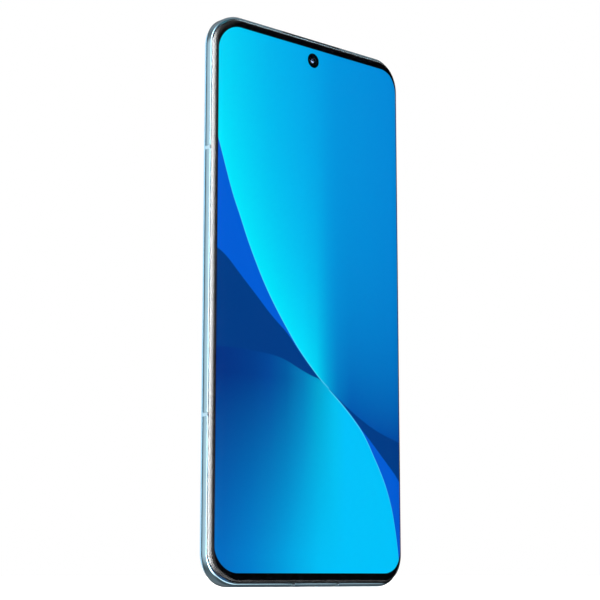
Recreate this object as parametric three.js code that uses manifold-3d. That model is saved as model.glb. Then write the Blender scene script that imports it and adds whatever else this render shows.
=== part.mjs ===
import * as THREE from "three";
import { mergeVertices } from "three/addons/utils/BufferGeometryUtils.js";
import Module from "manifold-3d";

// A slab smartphone whose cover glass curves down at its long sides, standing on its lower edge.
// Millimetres. X points right as seen from the front, Y runs from the screen to the back, Z is up,
// and the origin is the middle of the lower edge.

// ---- Driving dimensions ----------------------------------------------------------------------
const WIDTH = 69.9;
const HEIGHT = 152.7;
const THICKNESS = 8.16;
const CORNER_R = 9;
const CORNER_STEPS = 8; // facets of each corner of the outline
const CURVE_STEPS = 4; // facets of each curved edge
const ROUND_STEPS = 20; // facets of a small round piece

const FRONT_Y = -THICKNESS / 2;
const BACK_Y = THICKNESS / 2;

// A pair of numbers gives a value on the long sides and on the two ends. The corners blend them.
// A seam is where a glass meets the metal frame: how far in from the outline, and at what depth.
const FRONT_SEAM = { inset: [0.12, 1.1], y: [-1.5, -3.2] };
const BACK_SEAM = { inset: [0.3, 0.9], y: [1, 3.1] };
const FRONT_CURVE = [5.4, 1.2]; // width of the cover glass's curved edge
const BACK_CURVE = [7, 3.5];
const FLANK = { front: [-1.2, -1.3], back: [0.15, 1.3] }; // the upright part of the frame's flank
const GLASS = 0.55;
const BACK_GLASS = 0.6;
const PANEL = {
  seam: { inset: [0.9, 1.8], y: [-1.58, -3.18] },
  curve: [4.75, 0.95],
  y: -3.46,
  thick: 0.58,
};
const SEAM_GAP = 0.05;
const LANDING = 1.6;

// Depths of the frame's web and of what lies behind it
const WEB = { front: -2.8, ledge: -1.65, back: -1.2, halfWidth: 28.8, end: 3.2 };
const WALL = 1.9; // the frame's wall round the component bay
const LIP = 1.65; // the wall round the display's pocket
const BOARD = { front: -1.1, back: -0.5 };
const ON_BOARD = -0.45; // what is soldered to a board starts here
const BRACKET = { front: 2.45, back: 3 };
const CLEAR = 0.1;

// The opening for the front camera, and where the display can show a picture
const FRONT_CAMERA = { x: 0, z: 145.8, lens: 2.4, hole: 3.6, body: 6.2 };

// Keys on the right flank
const KEY = { y: -0.25, height: 1.9, out: 0.4, depth: 1.35, gap: 0.12, postR: 0.6, travel: 0.25 };
const KEY_FLEX = WIDTH / 2 - WALL - 0.75; // the face of the keys' flexible strip
const POWER_KEY = { z: 79.5, length: 10.5 };
const VOLUME_KEY = { z: 101.5, length: 20.5, post: 6.5 };

// Lower edge, from left to right
const TRAY = { x: [-27.2, -14.2], y: [-0.7, 1.3], cover: 1.2, carrier: [-27, -16.6], end: 18 };
const CARRIER_Y = [-0.1, 0.7];
const CARD = { width: 8.8, length: 12.3, thick: 0.6 };
const EJECT = { x: -15.4, holeR: 0.45, rod: 0.9, pivot: [-18.5, 21.8], lever: [-25.5, -14.9] };
const READER = { x: [-28.8, -13.6], z: [3.4, 24], y: [-0.45, 1.25], wall: 0.2 };
const USB = { width: 8.94, height: 3.2, wall: 0.3, z: [0.6, 8.4] };
const SPEAKER_HOLES = { x: 13, pitch: 2, count: 7, r: 0.6 };
const MICROPHONE_R = 0.5;
const LOWER_MICROPHONE_X = -9.6;
const UPPER_MICROPHONE_X = 21;
const INFRARED = { x: -15, r: 1.1 };
const EAR_SLOT = { half: 11, z: [151.62, 152.26], floor: -0.95 };

// Plastic breaks in the metal band, which let the aerials work
const BREAK = { width: 1, depth: 0.8, gap: 0.02 };
const SIDE_BREAKS = { upper: 115, lower: 43.9 };
const BOTTOM_BREAKS = [-6.6, 9.3];

// The camera plate on the back, on the right as seen from the front
const PLATE = { x: 14.5, z: 129.5, width: 25, height: 35, r: 6.5, y: [3.2, 5] };
const RING_OUT = 0.4; // a lens ring stands this far proud of the plate
const LENSES = {
  main: { x: 19.3, z: 138, ringR: 6.4, windowR: 4.9, barrelR: 3.8, body: 11.6, focuses: true },
  wide: { x: 19.3, z: 121.2, ringR: 5.2, windowR: 3.9, barrelR: 3, body: 9.6 },
  macro: { x: 7.6, z: 121.2, ringR: 3.9, windowR: 2.9, barrelR: 2.2, body: 7 },
};
const FLASH = { x: 7.6, z: 138, r: 2.6 };

// Inside
const BATTERY = { x: 31, z: [26, 95], y: [-1.1, 2.65] };
const COIL = { z: 60, outer: 21.5, inner: 11, y: [2.9, 3.25] };
const LINK = { x: [20.5, 25.5], y: [2.75, 2.87], z: [22.35, 98.4], foot: -0.42 };
const MAIN_BOARD = { left: -31, right: 31, bottom: 97.5, neck: 109, inner: -1.5, top: 131.5 };
const SUB_BOARD = { x: 31, z: [3.3, 22.6] };
const MOTOR = { x: [-8, 8], z: [13.2, 21.6], y: [-0.45, 2.4], wall: 0.35, travel: 0.6 };
const LOUDSPEAKER = { x: [11, 30], z: [4.2, 21.4], y: [-0.45, 2.4] };
const EARPIECE = { x: [-24, -6.2], z: [137, 147.6], y: [-1.1, 2.3] };
const CONE = { thick: 0.3, travel: 0.3 };
const FINGERPRINT = { z: 31, size: 9, depth: 0.5 };
const VAPOUR = { x: 22, z: [48, 134], depth: 0.42 };
const BOSS_R = 1.6;
const SCREW = { headR: 1.25, head: 0.3, shankR: 0.6, foot: 0.6 };
const UPPER_SCREWS = [
  [-27, 144.8],
  [-20, 101],
  [-3.6, 134.4],
];
const LOWER_SCREWS = [
  [-10.8, 6],
  [7.9, 9.8],
  [-10.8, 19.4],
];

// ---- Solids ----------------------------------------------------------------------------------
const wasm = await Module();
wasm.setup();

const radians = (degrees) => (degrees * Math.PI) / 180;
const blended = (value, side) =>
  Array.isArray(value) ? value[1] + (value[0] - value[1]) * side : value;
const plus = (value, more) =>
  Array.isArray(value) ? value.map((v, i) => v + (Array.isArray(more) ? more[i] : more)) : value + more;

// A range grown by more at both ends.
const plusRange = ([low, high], more) => [low - more, high + more];

// A three.js geometry as a solid that can be joined and cut.
function solid(geometry) {
  const plain = geometry.clone();
  plain.deleteAttribute("normal");
  plain.deleteAttribute("uv");
  const merged = mergeVertices(plain, 1e-4);
  return new wasm.Manifold(
    new wasm.Mesh({
      numProp: 3,
      vertProperties: merged.attributes.position.array,
      triVerts: new Uint32Array(merged.index.array),
    }),
  );
}

// A solid as a three.js geometry.
function geometryOf(made) {
  const mesh = made.getMesh();
  const geometry = new THREE.BufferGeometry();
  geometry.setAttribute("position", new THREE.BufferAttribute(mesh.vertProperties, 3));
  geometry.setIndex(new THREE.BufferAttribute(mesh.triVerts, 1));
  geometry.computeVertexNormals();
  return geometry;
}

// A box between two corners, given as a range along each axis.
function box([x0, x1], [y0, y1], [z0, z1]) {
  const geometry = new THREE.BoxGeometry(x1 - x0, y1 - y0, z1 - z0);
  geometry.translate((x0 + x1) / 2, (y0 + y1) / 2, (z0 + z1) / 2);
  return solid(geometry);
}

// A round bar along Y, X or Z, centred on the other two axes.
function barY(x, z, r, [y0, y1], steps = ROUND_STEPS) {
  return solid(new THREE.CylinderGeometry(r, r, y1 - y0, steps).translate(x, (y0 + y1) / 2, z));
}
function barX(y, z, r, [x0, x1], steps = ROUND_STEPS) {
  const geometry = new THREE.CylinderGeometry(r, r, x1 - x0, steps).rotateZ(Math.PI / 2);
  return solid(geometry.translate((x0 + x1) / 2, y, z));
}
function barZ(x, y, r, [z0, z1], steps = ROUND_STEPS) {
  const geometry = new THREE.CylinderGeometry(r, r, z1 - z0, steps).rotateX(Math.PI / 2);
  return solid(geometry.translate(x, y, (z0 + z1) / 2));
}

// A rectangle with round corners, centred on the origin.
function roundedRectangle(width, height, r) {
  const shape = new THREE.Shape();
  const corners = [
    [1, -1, -90],
    [1, 1, 0],
    [-1, 1, 90],
    [-1, -1, 180],
  ];
  for (const [sx, sy, start] of corners)
    shape.absarc(
      sx * (width / 2 - r),
      sy * (height / 2 - r),
      r,
      radians(start),
      radians(start + 90),
      false,
    );
  return shape;
}

// A flat shape in X and Z, made thick along Y.
function plateOf(shape, [y0, y1], curveSegments = 6) {
  const geometry = new THREE.ExtrudeGeometry(shape, {
    depth: y1 - y0,
    bevelEnabled: false,
    curveSegments,
  });
  return solid(geometry.rotateX(Math.PI / 2).translate(0, y1, 0));
}

// A rounded plate with its middle at x, z.
function pad(x, z, width, height, r, y) {
  return plateOf(roundedRectangle(width, height, r), y).translate([x, 0, z]);
}

// Points round the phone's outline, anticlockwise from the front, each with its outward direction.
function outline() {
  const points = [];
  const corners = [
    [1, -1, -90],
    [1, 1, 0],
    [-1, 1, 90],
    [-1, -1, 180],
  ];
  for (const [sx, sz, start] of corners)
    for (let i = 0; i <= CORNER_STEPS; i++) {
      const angle = radians(start + (90 * i) / CORNER_STEPS);
      const nx = Math.cos(angle);
      const nz = Math.sin(angle);
      const x = sx * (WIDTH / 2 - CORNER_R) + CORNER_R * nx;
      const z = HEIGHT / 2 + sz * (HEIGHT / 2 - CORNER_R) + CORNER_R * nz;
      points.push({ x, z, nx, nz });
    }
  return points;
}
const OUTLINE = outline();

// The outline drawn in by inset, at depth y. Either can be a pair for the sides and the ends.
const ring = (inset, y) =>
  OUTLINE.map(({ x, z, nx, nz }) => {
    const side = nx * nx;
    const d = blended(inset, side);
    return new THREE.Vector3(x - nx * d, blended(y, side), z - nz * d);
  });

// A closed skin through rings from front to back, with a cap on the first and last.
function loft(rings, firstY, lastY) {
  const count = OUTLINE.length;
  const positions = rings.flat().flatMap((p) => [p.x, p.y, p.z]);
  positions.push(0, firstY, HEIGHT / 2, 0, lastY, HEIGHT / 2);
  const first = rings.length * count;
  const last = first + 1;
  const index = [];
  for (let i = 0; i < count; i++) {
    const j = (i + 1) % count;
    index.push(first, i, j, last, (rings.length - 1) * count + j, (rings.length - 1) * count + i);
    for (let k = 0; k + 1 < rings.length; k++) {
      const a = k * count;
      const b = a + count;
      index.push(a + i, b + i, b + j, a + i, b + j, a + j);
    }
  }
  const geometry = new THREE.BufferGeometry();
  geometry.setAttribute("position", new THREE.BufferAttribute(new Float32Array(positions), 3));
  geometry.setIndex(index);
  return solid(geometry);
}

// The rings of a quarter ellipse from the flat face down to a seam.
function curvedEdge(seam, curve, faceY) {
  const rings = [];
  for (let k = 0; k <= CURVE_STEPS; k++) {
    const angle = radians((90 * k) / CURVE_STEPS);
    const inset = plus(seam.inset, [
      curve[0] * (1 - Math.sin(angle)),
      curve[1] * (1 - Math.sin(angle)),
    ]);
    const y = seam.y.map((s) => s + (faceY - s) * Math.cos(angle));
    rings.push(ring(inset, y));
  }
  return rings;
}

// A sheet of even thickness with a curved edge. direction is 1 on the front and -1 on the back.
function curvedSheet(seam, curve, faceY, thickness, direction) {
  const outer = curvedEdge(seam, curve, faceY);
  const inner = curvedEdge(
    { inset: plus(seam.inset, thickness), y: seam.y },
    plus(curve, -thickness),
    faceY + direction * thickness,
  );
  const rings = [...outer, ...inner.reverse()];
  if (direction < 0) rings.reverse();
  return loft(rings, rings[0][0].y, rings.at(-1)[0].y);
}

// A stadium-shaped bar that points along X, for the keys and their slots.
function keyBar(z, length, height, [x0, x1]) {
  const shape = roundedRectangle(length, height, height / 2 - 0.01);
  const geometry = new THREE.ExtrudeGeometry(shape, {
    depth: x1 - x0,
    bevelEnabled: false,
    curveSegments: 5,
  });
  return solid(geometry.rotateY(Math.PI / 2).translate(x0, KEY.y, z));
}

// A stadium-shaped bar that points along Z, for the socket on the lower edge.
function socketBar(width, height, [z0, z1]) {
  const shape = roundedRectangle(width, height, height / 2 - 0.01);
  const geometry = new THREE.ExtrudeGeometry(shape, {
    depth: z1 - z0,
    bevelEnabled: false,
    curveSegments: 5,
  });
  return solid(geometry.translate(0, 0, z0));
}

// ---- Materials -------------------------------------------------------------------------------
const finish = (color, roughness, metalness) =>
  new THREE.MeshStandardMaterial({ color, roughness, metalness });
const CLEAR_GLASS = finish(0xe8f2f6, 0.05, 0);
const DISPLAY = finish(0x0090dc, 0.3, 0);
const METAL_BAND = finish(0xa8c6d6, 0.25, 1);
const BLUE_GLASS = finish(0x7fa9c0, 0.4, 0);
const BREAK_PLASTIC = finish(0x9ab4c2, 0.5, 0);
const PLATE_METAL = finish(0x6f8da0, 0.25, 1);
const RING_METAL = finish(0xb8c4cc, 0.2, 1);
const DARK_GLASS = finish(0x0a0d12, 0.05, 0);
const BLACK_PLASTIC = finish(0x15171a, 0.6, 0);
const DIFFUSER = finish(0xe9e4d0, 0.35, 0);
const BOARD_GREEN = finish(0x153b2c, 0.5, 0);
const STEEL = finish(0xb4b8bc, 0.3, 1);
const FOIL = finish(0x2a2c30, 0.4, 0);
const COPPER = finish(0xb4713f, 0.3, 1);
const RUBBER = finish(0x1a1a1c, 0.8, 0);
const FLEX = finish(0x5a3a16, 0.5, 0);
const CARD_WHITE = finish(0xe2e4e6, 0.4, 0);

// A named piece of the phone, at a place in its group.
function piece(name, material, made, place = [0, 0, 0]) {
  const mesh = new THREE.Mesh(geometryOf(made), material);
  mesh.name = name;
  mesh.position.set(...place);
  return mesh;
}
function group(...members) {
  const made = new THREE.Group();
  made.add(...members);
  return made;
}

// ---- Frame -----------------------------------------------------------------------------------
// The outside of the metal band, before anything is cut into it.
function bandSolid() {
  const front = { inset: FRONT_SEAM.inset, y: plus(FRONT_SEAM.y, SEAM_GAP) };
  const back = { inset: BACK_SEAM.inset, y: plus(BACK_SEAM.y, -SEAM_GAP) };
  // A landing inside each seam, for the glass to lie on
  const landing = (seam) => ring(plus(seam.inset, LANDING), seam.y);
  const quarter = (seam, flank, k) => {
    const angle = radians((90 * k) / CURVE_STEPS);
    const inset = seam.inset.map((i) => i * (1 - Math.sin(angle)));
    const y = flank.map((m, i) => m + (seam.y[i] - m) * Math.cos(angle));
    return ring(inset, y);
  };
  const rings = [landing(front)];
  for (let k = 0; k <= CURVE_STEPS; k++) rings.push(quarter(front, FLANK.front, k));
  for (let k = CURVE_STEPS; k >= 0; k--) rings.push(quarter(back, FLANK.back, k));
  rings.push(landing(back));
  return loft(rings, front.y[0], back.y[0]);
}
const BAND = bandSolid();

// The blocks that the aerial breaks take out of the band, each grown by margin.
function breakBlocks(margin) {
  const half = BREAK.width / 2 + margin;
  const deep = BREAK.depth + margin;
  const all = [-9, 9];
  const blocks = {};
  for (const [level, z] of Object.entries(SIDE_BREAKS)) {
    blocks[`aerial_break_left_${level}`] = box([-40, -WIDTH / 2 + deep], all, [z - half, z + half]);
    blocks[`aerial_break_right_${level}`] = box([WIDTH / 2 - deep, 40], all, [z - half, z + half]);
  }
  BOTTOM_BREAKS.forEach((x, i) => {
    const name = `aerial_break_bottom_${i ? "right" : "left"}`;
    blocks[name] = box([x - half, x + half], all, [-5, deep]);
  });
  return blocks;
}

function aerialBreaks() {
  // The side breaks stay between the two glasses' seams, as the band does.
  return Object.entries(breakBlocks(0)).map(([name, block]) =>
    piece(name, BREAK_PLASTIC, BAND.intersect(block)),
  );
}

// A key's slot in the right flank, with a hole for each of its posts.
function keyOpening(key, postOffsets) {
  const height = KEY.height + 2 * KEY.gap;
  const seat = WIDTH / 2 + KEY.out - KEY.depth - KEY.travel - KEY.gap;
  let cut = keyBar(key.z, key.length + 2 * KEY.gap, height, [seat, WIDTH]);
  for (const offset of postOffsets)
    cut = cut.add(barX(KEY.y, key.z + offset, KEY.postR + 0.2, [WIDTH / 2 - WALL - 1, seat + 0.1], 12));
  return cut;
}

// A boss that a screw bites into, standing on the web.
const boss = ([x, z]) => barY(x, z, BOSS_R, [WEB.back - 0.1, BRACKET.front - 0.05], 14);
const bossHole = ([x, z]) => barY(x, z, SCREW.shankR + CLEAR, [SCREW.foot - 0.4, 9], 12);

function midFrame() {
  const inside = (inset, y0, y1) => loft([ring(inset, y0), ring(inset, y1)], y0, y1);
  let made = BAND.subtract(inside(LIP, -9, WEB.ledge)).subtract(inside(WALL, WEB.back, 9));
  const halfWeb = [-WEB.halfWidth, WEB.halfWidth];
  made = made.add(box(halfWeb, [WEB.front, WEB.back], [WEB.end, HEIGHT - WEB.end]));
  // Walls between the battery's bay and the two boards
  for (const z of [BATTERY.z[0] - 1.2, BATTERY.z[1] + 0.6])
    made = made.add(box([-WIDTH / 2 + 1.5, KEY_FLEX - 0.4], [WEB.back - 0.1, 0.6], [z, z + 0.6]));
  for (const screw of [...UPPER_SCREWS, ...LOWER_SCREWS]) made = made.add(boss(screw));
  const cuts = [
    ...[...UPPER_SCREWS, ...LOWER_SCREWS].map(bossHole),
    ...Object.values(breakBlocks(BREAK.gap)),
    keyOpening(POWER_KEY, [0]),
    keyOpening(VOLUME_KEY, [-VOLUME_KEY.post, VOLUME_KEY.post]),
    // The lower edge: tray slot, socket, microphone and loudspeaker holes
    box(plusRange(TRAY.x, CLEAR), plusRange(TRAY.y, CLEAR), [-1, WALL + 1]),
    socketBar(USB.width + 0.2, USB.height + 0.2, [-1, WALL + 1]),
    box([-USB.width / 2 - 0.3, USB.width / 2 + 0.3], [-1.75, -1], [1.5, USB.z[1] + 0.4]),
    barZ(LOWER_MICROPHONE_X, 0, MICROPHONE_R, [-1, WALL + 1], 10),
    barZ(UPPER_MICROPHONE_X, 0, MICROPHONE_R, [HEIGHT - WALL - 1, HEIGHT + 1], 10),
    barZ(INFRARED.x, 0, INFRARED.r, [HEIGHT - WALL - 1, HEIGHT + 1], 14),
    // The earpiece's slot beside the glass, and its way down to the bay
    box([-EAR_SLOT.half, EAR_SLOT.half], [-9, EAR_SLOT.floor], EAR_SLOT.z),
    box([-EAR_SLOT.half, EAR_SLOT.half], [WEB.back, EAR_SLOT.floor], [HEIGHT - 3, EAR_SLOT.z[1]]),
    // Pockets in the web for the front camera, fingerprint sensor and vapour chamber
    box([-3.4, 3.4], [-5, 0], [FRONT_CAMERA.z - 3.4, FRONT_CAMERA.z + 3.4]),
    pad(0, FINGERPRINT.z, FINGERPRINT.size + 0.4, FINGERPRINT.size + 0.4, 1, [-5, WEB.front + 0.6]),
    box(
      [-VAPOUR.x - 0.2, VAPOUR.x + 0.2],
      [-5, WEB.front + 0.5],
      [VAPOUR.z[0] - 0.2, VAPOUR.z[1] + 0.2],
    ),
  ];
  for (let i = 0; i < SPEAKER_HOLES.count; i++) {
    const x = SPEAKER_HOLES.x + i * SPEAKER_HOLES.pitch;
    cuts.push(barZ(x, 0, SPEAKER_HOLES.r, [-1, WALL + 1], 12));
  }
  return piece("mid_frame", METAL_BAND, cuts.reduce((body, cut) => body.subtract(cut), made));
}

// ---- Front and back --------------------------------------------------------------------------
function coverGlass() {
  const made = curvedSheet(FRONT_SEAM, FRONT_CURVE, FRONT_Y, GLASS, 1);
  return piece("cover_glass", CLEAR_GLASS, made);
}

function displayPanel() {
  const made = curvedSheet(PANEL.seam, PANEL.curve, PANEL.y, PANEL.thick, 1);
  const hole = barY(FRONT_CAMERA.x, FRONT_CAMERA.z, FRONT_CAMERA.hole / 2, [-6, 0]);
  return piece("display_panel", DISPLAY, made.subtract(hole));
}

function backGlass() {
  const made = curvedSheet(BACK_SEAM, BACK_CURVE, BACK_Y, BACK_GLASS, -1);
  const window = pad(
    PLATE.x,
    PLATE.z,
    PLATE.width + 2 * CLEAR,
    PLATE.height + 2 * CLEAR,
    PLATE.r + CLEAR,
    [0, 9],
  );
  return piece("back_glass", BLUE_GLASS, made.subtract(window));
}

// The mesh that covers the earpiece's slot.
function earpieceMesh() {
  const [z0, z1] = EAR_SLOT.z;
  const half = EAR_SLOT.half - CLEAR;
  return piece(
    "earpiece_mesh",
    BLACK_PLASTIC,
    box([-half, half], [-2.4, -2.2], [z0 + 0.05, z1 - 0.05]),
  );
}

function infraredWindow() {
  const bar = barZ(INFRARED.x, 0, INFRARED.r - CLEAR, [HEIGHT - 1.6, HEIGHT - 0.05], 14);
  return piece("infrared_window", DARK_GLASS, bar);
}

// ---- Rear cameras ----------------------------------------------------------------------------
function cameraPlate() {
  let made = pad(PLATE.x, PLATE.z, PLATE.width, PLATE.height, PLATE.r, PLATE.y);
  for (const lens of Object.values(LENSES)) {
    made = made.subtract(barY(lens.x, lens.z, lens.barrelR + 0.6, [0, 9], 24));
    // The seat of the lens's ring and window
    made = made.subtract(barY(lens.x, lens.z, lens.ringR + 0.05, [PLATE.y[1] - 0.6, 9], 24));
  }
  made = made.subtract(barY(FLASH.x, FLASH.z, FLASH.r + 0.05, [0, 9], 20));
  return piece("camera_plate", PLATE_METAL, made);
}

// A lens's ring and window, its camera body, and the barrel that looks out through them. Only the
// main camera's barrel is a piece of its own, because only that one moves to focus.
function rearCamera(name, lens) {
  const seat = PLATE.y[1] - 0.55;
  const ringTop = PLATE.y[1] + RING_OUT;
  const ringBar = barY(0, 0, lens.ringR, [seat, ringTop], 24);
  const bore = barY(0, 0, lens.windowR + 0.05, [0, 9], 24);
  const body = box([-lens.body / 2, lens.body / 2], [-1.1, 2.9], [-lens.body / 2, lens.body / 2]);
  const barrel = barY(0, 0, lens.barrelR, [-0.1, 4], 24);
  const window = barY(0, 0, lens.windowR, [seat, ringTop - 0.1], 24);
  const place = [lens.x, 0, lens.z];
  const made = group(
    piece(`${name}_lens_ring`, RING_METAL, ringBar.subtract(bore), place),
    piece(`${name}_lens_window`, DARK_GLASS, window, place),
  );
  if (!lens.focuses)
    return made.add(piece(`${name}_camera_body`, BLACK_PLASTIC, body.add(barrel), place));
  const well = barY(0, 0, lens.barrelR + 0.15, [-0.5, 9], 24);
  return made.add(
    piece(`${name}_camera_body`, BLACK_PLASTIC, body.subtract(well), place),
    piece(`${name}_lens_barrel`, DARK_GLASS, barrel, place),
  );
}

function flashWindow() {
  const bar = barY(FLASH.x, FLASH.z, FLASH.r, [2.2, PLATE.y[1] + 0.05]);
  return piece("flash_window", DIFFUSER, bar);
}

// ---- Front camera and sensors ----------------------------------------------------------------
function frontCamera() {
  const { x, z, lens, body } = FRONT_CAMERA;
  const block = box([-body / 2, body / 2], [-2.7, 0.9], [-body / 2, body / 2]);
  const nose = barY(0, 0, lens / 2, [-3.42, -2.6]);
  return piece("front_camera", BLACK_PLASTIC, block.add(nose), [x, 0, z]);
}

function fingerprintSensor() {
  const { z, size, depth } = FINGERPRINT;
  const y = [WEB.front + 0.02, WEB.front + 0.02 + depth];
  return piece("fingerprint_sensor", BLACK_PLASTIC, pad(0, z, size, size, 0.8, y));
}

function vapourChamber() {
  const y = [WEB.front + 0.02, WEB.front + 0.02 + VAPOUR.depth];
  const height = VAPOUR.z[1] - VAPOUR.z[0];
  const made = pad(0, VAPOUR.z[0] + height / 2, 2 * VAPOUR.x, height, 2, y);
  return piece("vapour_chamber", COPPER, made);
}

// ---- Keys ------------------------------------------------------------------------------------
// A key with a bevelled cap and a post behind it for each switch that it works.
function sideKey(name, key, postOffsets) {
  const outer = WIDTH / 2 + KEY.out;
  const bevel = 0.15;
  let made = keyBar(0, key.length, KEY.height, [outer - KEY.depth, outer - bevel]);
  made = made.add(keyBar(0, key.length - 2 * bevel, KEY.height - 2 * bevel, [outer - 0.5, outer]));
  for (const offset of postOffsets)
    made = made.add(barX(KEY.y, offset, KEY.postR, [WIDTH / 2 - WALL, outer - KEY.depth + 0.1], 12));
  return piece(name, METAL_BAND, made, [0, 0, key.z]);
}

// The flexible strip inside the right flank, with a dome switch under each post.
function keyFlex() {
  let made = box([KEY_FLEX - 0.25, KEY_FLEX], [-0.95, 1.1], [77, 111]);
  for (const z of [POWER_KEY.z, VOLUME_KEY.z - VOLUME_KEY.post, VOLUME_KEY.z + VOLUME_KEY.post])
    made = made.add(barX(KEY.y, z, 0.9, [KEY_FLEX - 0.1, KEY_FLEX + 0.45], 12));
  return piece("key_switch_flex", FLEX, made);
}

// ---- Card tray and its ejector ---------------------------------------------------------------
const CARD_Z = TRAY.end - 1 - CARD.length / 2;
const CARD_X = (TRAY.carrier[0] + TRAY.carrier[1]) / 2;

function cardTray() {
  let made = box(TRAY.x, TRAY.y, [0, TRAY.cover]);
  made = made.add(box(TRAY.carrier, CARRIER_Y, [TRAY.cover - 0.1, TRAY.end]));
  const half = CARD.width / 2 - 0.5;
  const long = CARD.length / 2;
  // A window with a step round it, which the card lies on
  const openZ = plusRange([CARD_Z - long, CARD_Z + long], -0.6);
  made = made.subtract(box([CARD_X - half, CARD_X + half], [-2, 2], openZ));
  made = made.subtract(
    box(
      plusRange([CARD_X - CARD.width / 2, CARD_X + CARD.width / 2], 0.08),
      [CARRIER_Y[0] + 0.2, 2],
      plusRange([CARD_Z - long, CARD_Z + long], 0.08),
    ),
  );
  made = made.subtract(barZ(EJECT.x, 0.3, EJECT.holeR, [-1, 3], 12));
  return piece("card_tray", METAL_BAND, made);
}

function traySeal() {
  const z = [TRAY.cover + 0.05, TRAY.cover + 0.55];
  const ringBlock = box(plusRange(TRAY.carrier, 0.2), plusRange(CARRIER_Y, 0.4), z);
  const bore = box(plusRange(TRAY.carrier, 0.02), plusRange(CARRIER_Y, 0.02), [0, 9]);
  return piece("tray_seal", RUBBER, ringBlock.subtract(bore));
}

function simCard() {
  const x = [CARD_X - CARD.width / 2, CARD_X + CARD.width / 2];
  const y = [CARRIER_Y[0] + 0.22, CARRIER_Y[0] + 0.22 + CARD.thick];
  const z = [CARD_Z - CARD.length / 2, CARD_Z + CARD.length / 2];
  return piece("sim_card", CARD_WHITE, box(x, y, z));
}

// The metal cage that the tray runs into, with the pin that the ejector's lever turns on.
function trayReader() {
  const { x, y, z, wall } = READER;
  let made = box(x, y, z);
  made = made.subtract(box([x[0] + wall, x[1] - wall], [y[0] + wall, y[1] - wall], [0, z[1] - wall]));
  made = made.subtract(box([x[0] + 2, x[1] - 4.2], [0, 9], [z[1] - 2.6, 40]));
  const pin = barY(EJECT.pivot[0], EJECT.pivot[1], 0.5, [y[0] + 0.05, 0.95], 12);
  return piece("tray_reader", STEEL, made.add(pin));
}

function ejectorRod() {
  const half = EJECT.rod / 2;
  const rod = box([EJECT.x - half, EJECT.x + half], CARRIER_Y, [2.6, 21]);
  return piece("ejector_rod", STEEL, rod);
}

function ejectorLever() {
  const [px, pz] = EJECT.pivot;
  let made = box(EJECT.lever, [0, 0.6], [pz - 0.5, pz + 0.5]);
  made = made.add(barY(px, pz, 1, [0, 0.6], 14));
  return piece("ejector_lever", STEEL, made.subtract(barY(px, pz, 0.6, [-1, 2], 12)));
}

// ---- Socket, boards and battery --------------------------------------------------------------
function usbSleeve() {
  const sleeve = socketBar(USB.width, USB.height, USB.z);
  const mouth = socketBar(USB.width - 2 * USB.wall, USB.height - 2 * USB.wall, [-1, USB.z[1] - 0.5]);
  return piece("usb_c_sleeve", STEEL, sleeve.subtract(mouth));
}

function usbTongue() {
  return piece("usb_c_tongue", BLACK_PLASTIC, box([-3.35, 3.35], [-0.35, 0.35], [1.4, USB.z[1] - 0.55]));
}

function mainBoard() {
  const { left, right, bottom, neck, inner, top } = MAIN_BOARD;
  const shape = new THREE.Shape();
  shape.moveTo(left, bottom);
  shape.lineTo(right, bottom);
  shape.lineTo(right, neck);
  shape.lineTo(inner, neck);
  shape.lineTo(inner, top);
  shape.lineTo(left, top);
  let made = plateOf(shape, [BOARD.front, BOARD.back]);
  for (const [x, z] of UPPER_SCREWS) made = made.subtract(barY(x, z, BOSS_R + 0.2, [-3, 3], 14));
  return piece("main_board", BOARD_GREEN, made);
}

// A drawn sheet-metal can over the chips.
function shieldCan() {
  const outside = pad(-14.6, 118, 20, 24, 1, [ON_BOARD, 1.6]);
  const inside = pad(-14.6, 118, 19.6, 23.6, 0.8, [-1, 1.4]);
  return piece("shield_can", STEEL, outside.subtract(inside));
}

const chip = (name, x, z, width, height, tall) =>
  piece(name, BLACK_PLASTIC, pad(x, z, width, height, 0.4, [ON_BOARD, ON_BOARD + tall]));

function subBoard() {
  const { x, z } = SUB_BOARD;
  const height = z[1] - z[0];
  let made = pad(0, z[0] + height / 2, 2 * x, height, 4, [BOARD.front, BOARD.back]);
  made = made.subtract(box([-USB.width / 2 - 0.2, USB.width / 2 + 0.2], [-3, 3], [0, USB.z[1] + 0.3]));
  for (const [sx, sz] of LOWER_SCREWS) made = made.subtract(barY(sx, sz, BOSS_R + 0.2, [-3, 3], 14));
  return piece("sub_board", BOARD_GREEN, made);
}

// A pouch cell: a soft-cornered block with the sealed terrace at its upper end.
function battery() {
  const { x, z, y } = BATTERY;
  const height = z[1] - z[0];
  const cell = pad(0, z[0] + (height - 4) / 2, 2 * x, height - 4, 2, y);
  const terrace = pad(0, z[1] - 3, 2 * x - 8, 6, 1, [y[0], 1]);
  return piece("battery", FOIL, cell.add(terrace));
}

// The ribbon that joins the two boards, over the battery.
function linkFlex() {
  const { x, y, z, foot } = LINK;
  const thick = y[1] - y[0];
  const profile = new THREE.Shape();
  profile.moveTo(y[1], z[0]);
  profile.lineTo(y[1], z[1]);
  profile.lineTo(foot, z[1]);
  profile.lineTo(foot, z[1] - thick);
  profile.lineTo(y[0], z[1] - thick);
  profile.lineTo(y[0], z[0] + thick);
  profile.lineTo(foot, z[0] + thick);
  profile.lineTo(foot, z[0]);
  const geometry = new THREE.ExtrudeGeometry(profile, { depth: x[1] - x[0], bevelEnabled: false });
  const alongX = new THREE.Matrix4().makeBasis(
    new THREE.Vector3(0, 1, 0),
    new THREE.Vector3(0, 0, 1),
    new THREE.Vector3(1, 0, 0),
  );
  return piece("board_link_flex", FLEX, solid(geometry.applyMatrix4(alongX).translate(x[0], 0, 0)));
}

function chargingCoil() {
  const made = barY(0, COIL.z, COIL.outer, COIL.y, 40).subtract(barY(0, COIL.z, COIL.inner, [0, 9], 40));
  return piece("charging_coil", COPPER, made);
}

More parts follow.
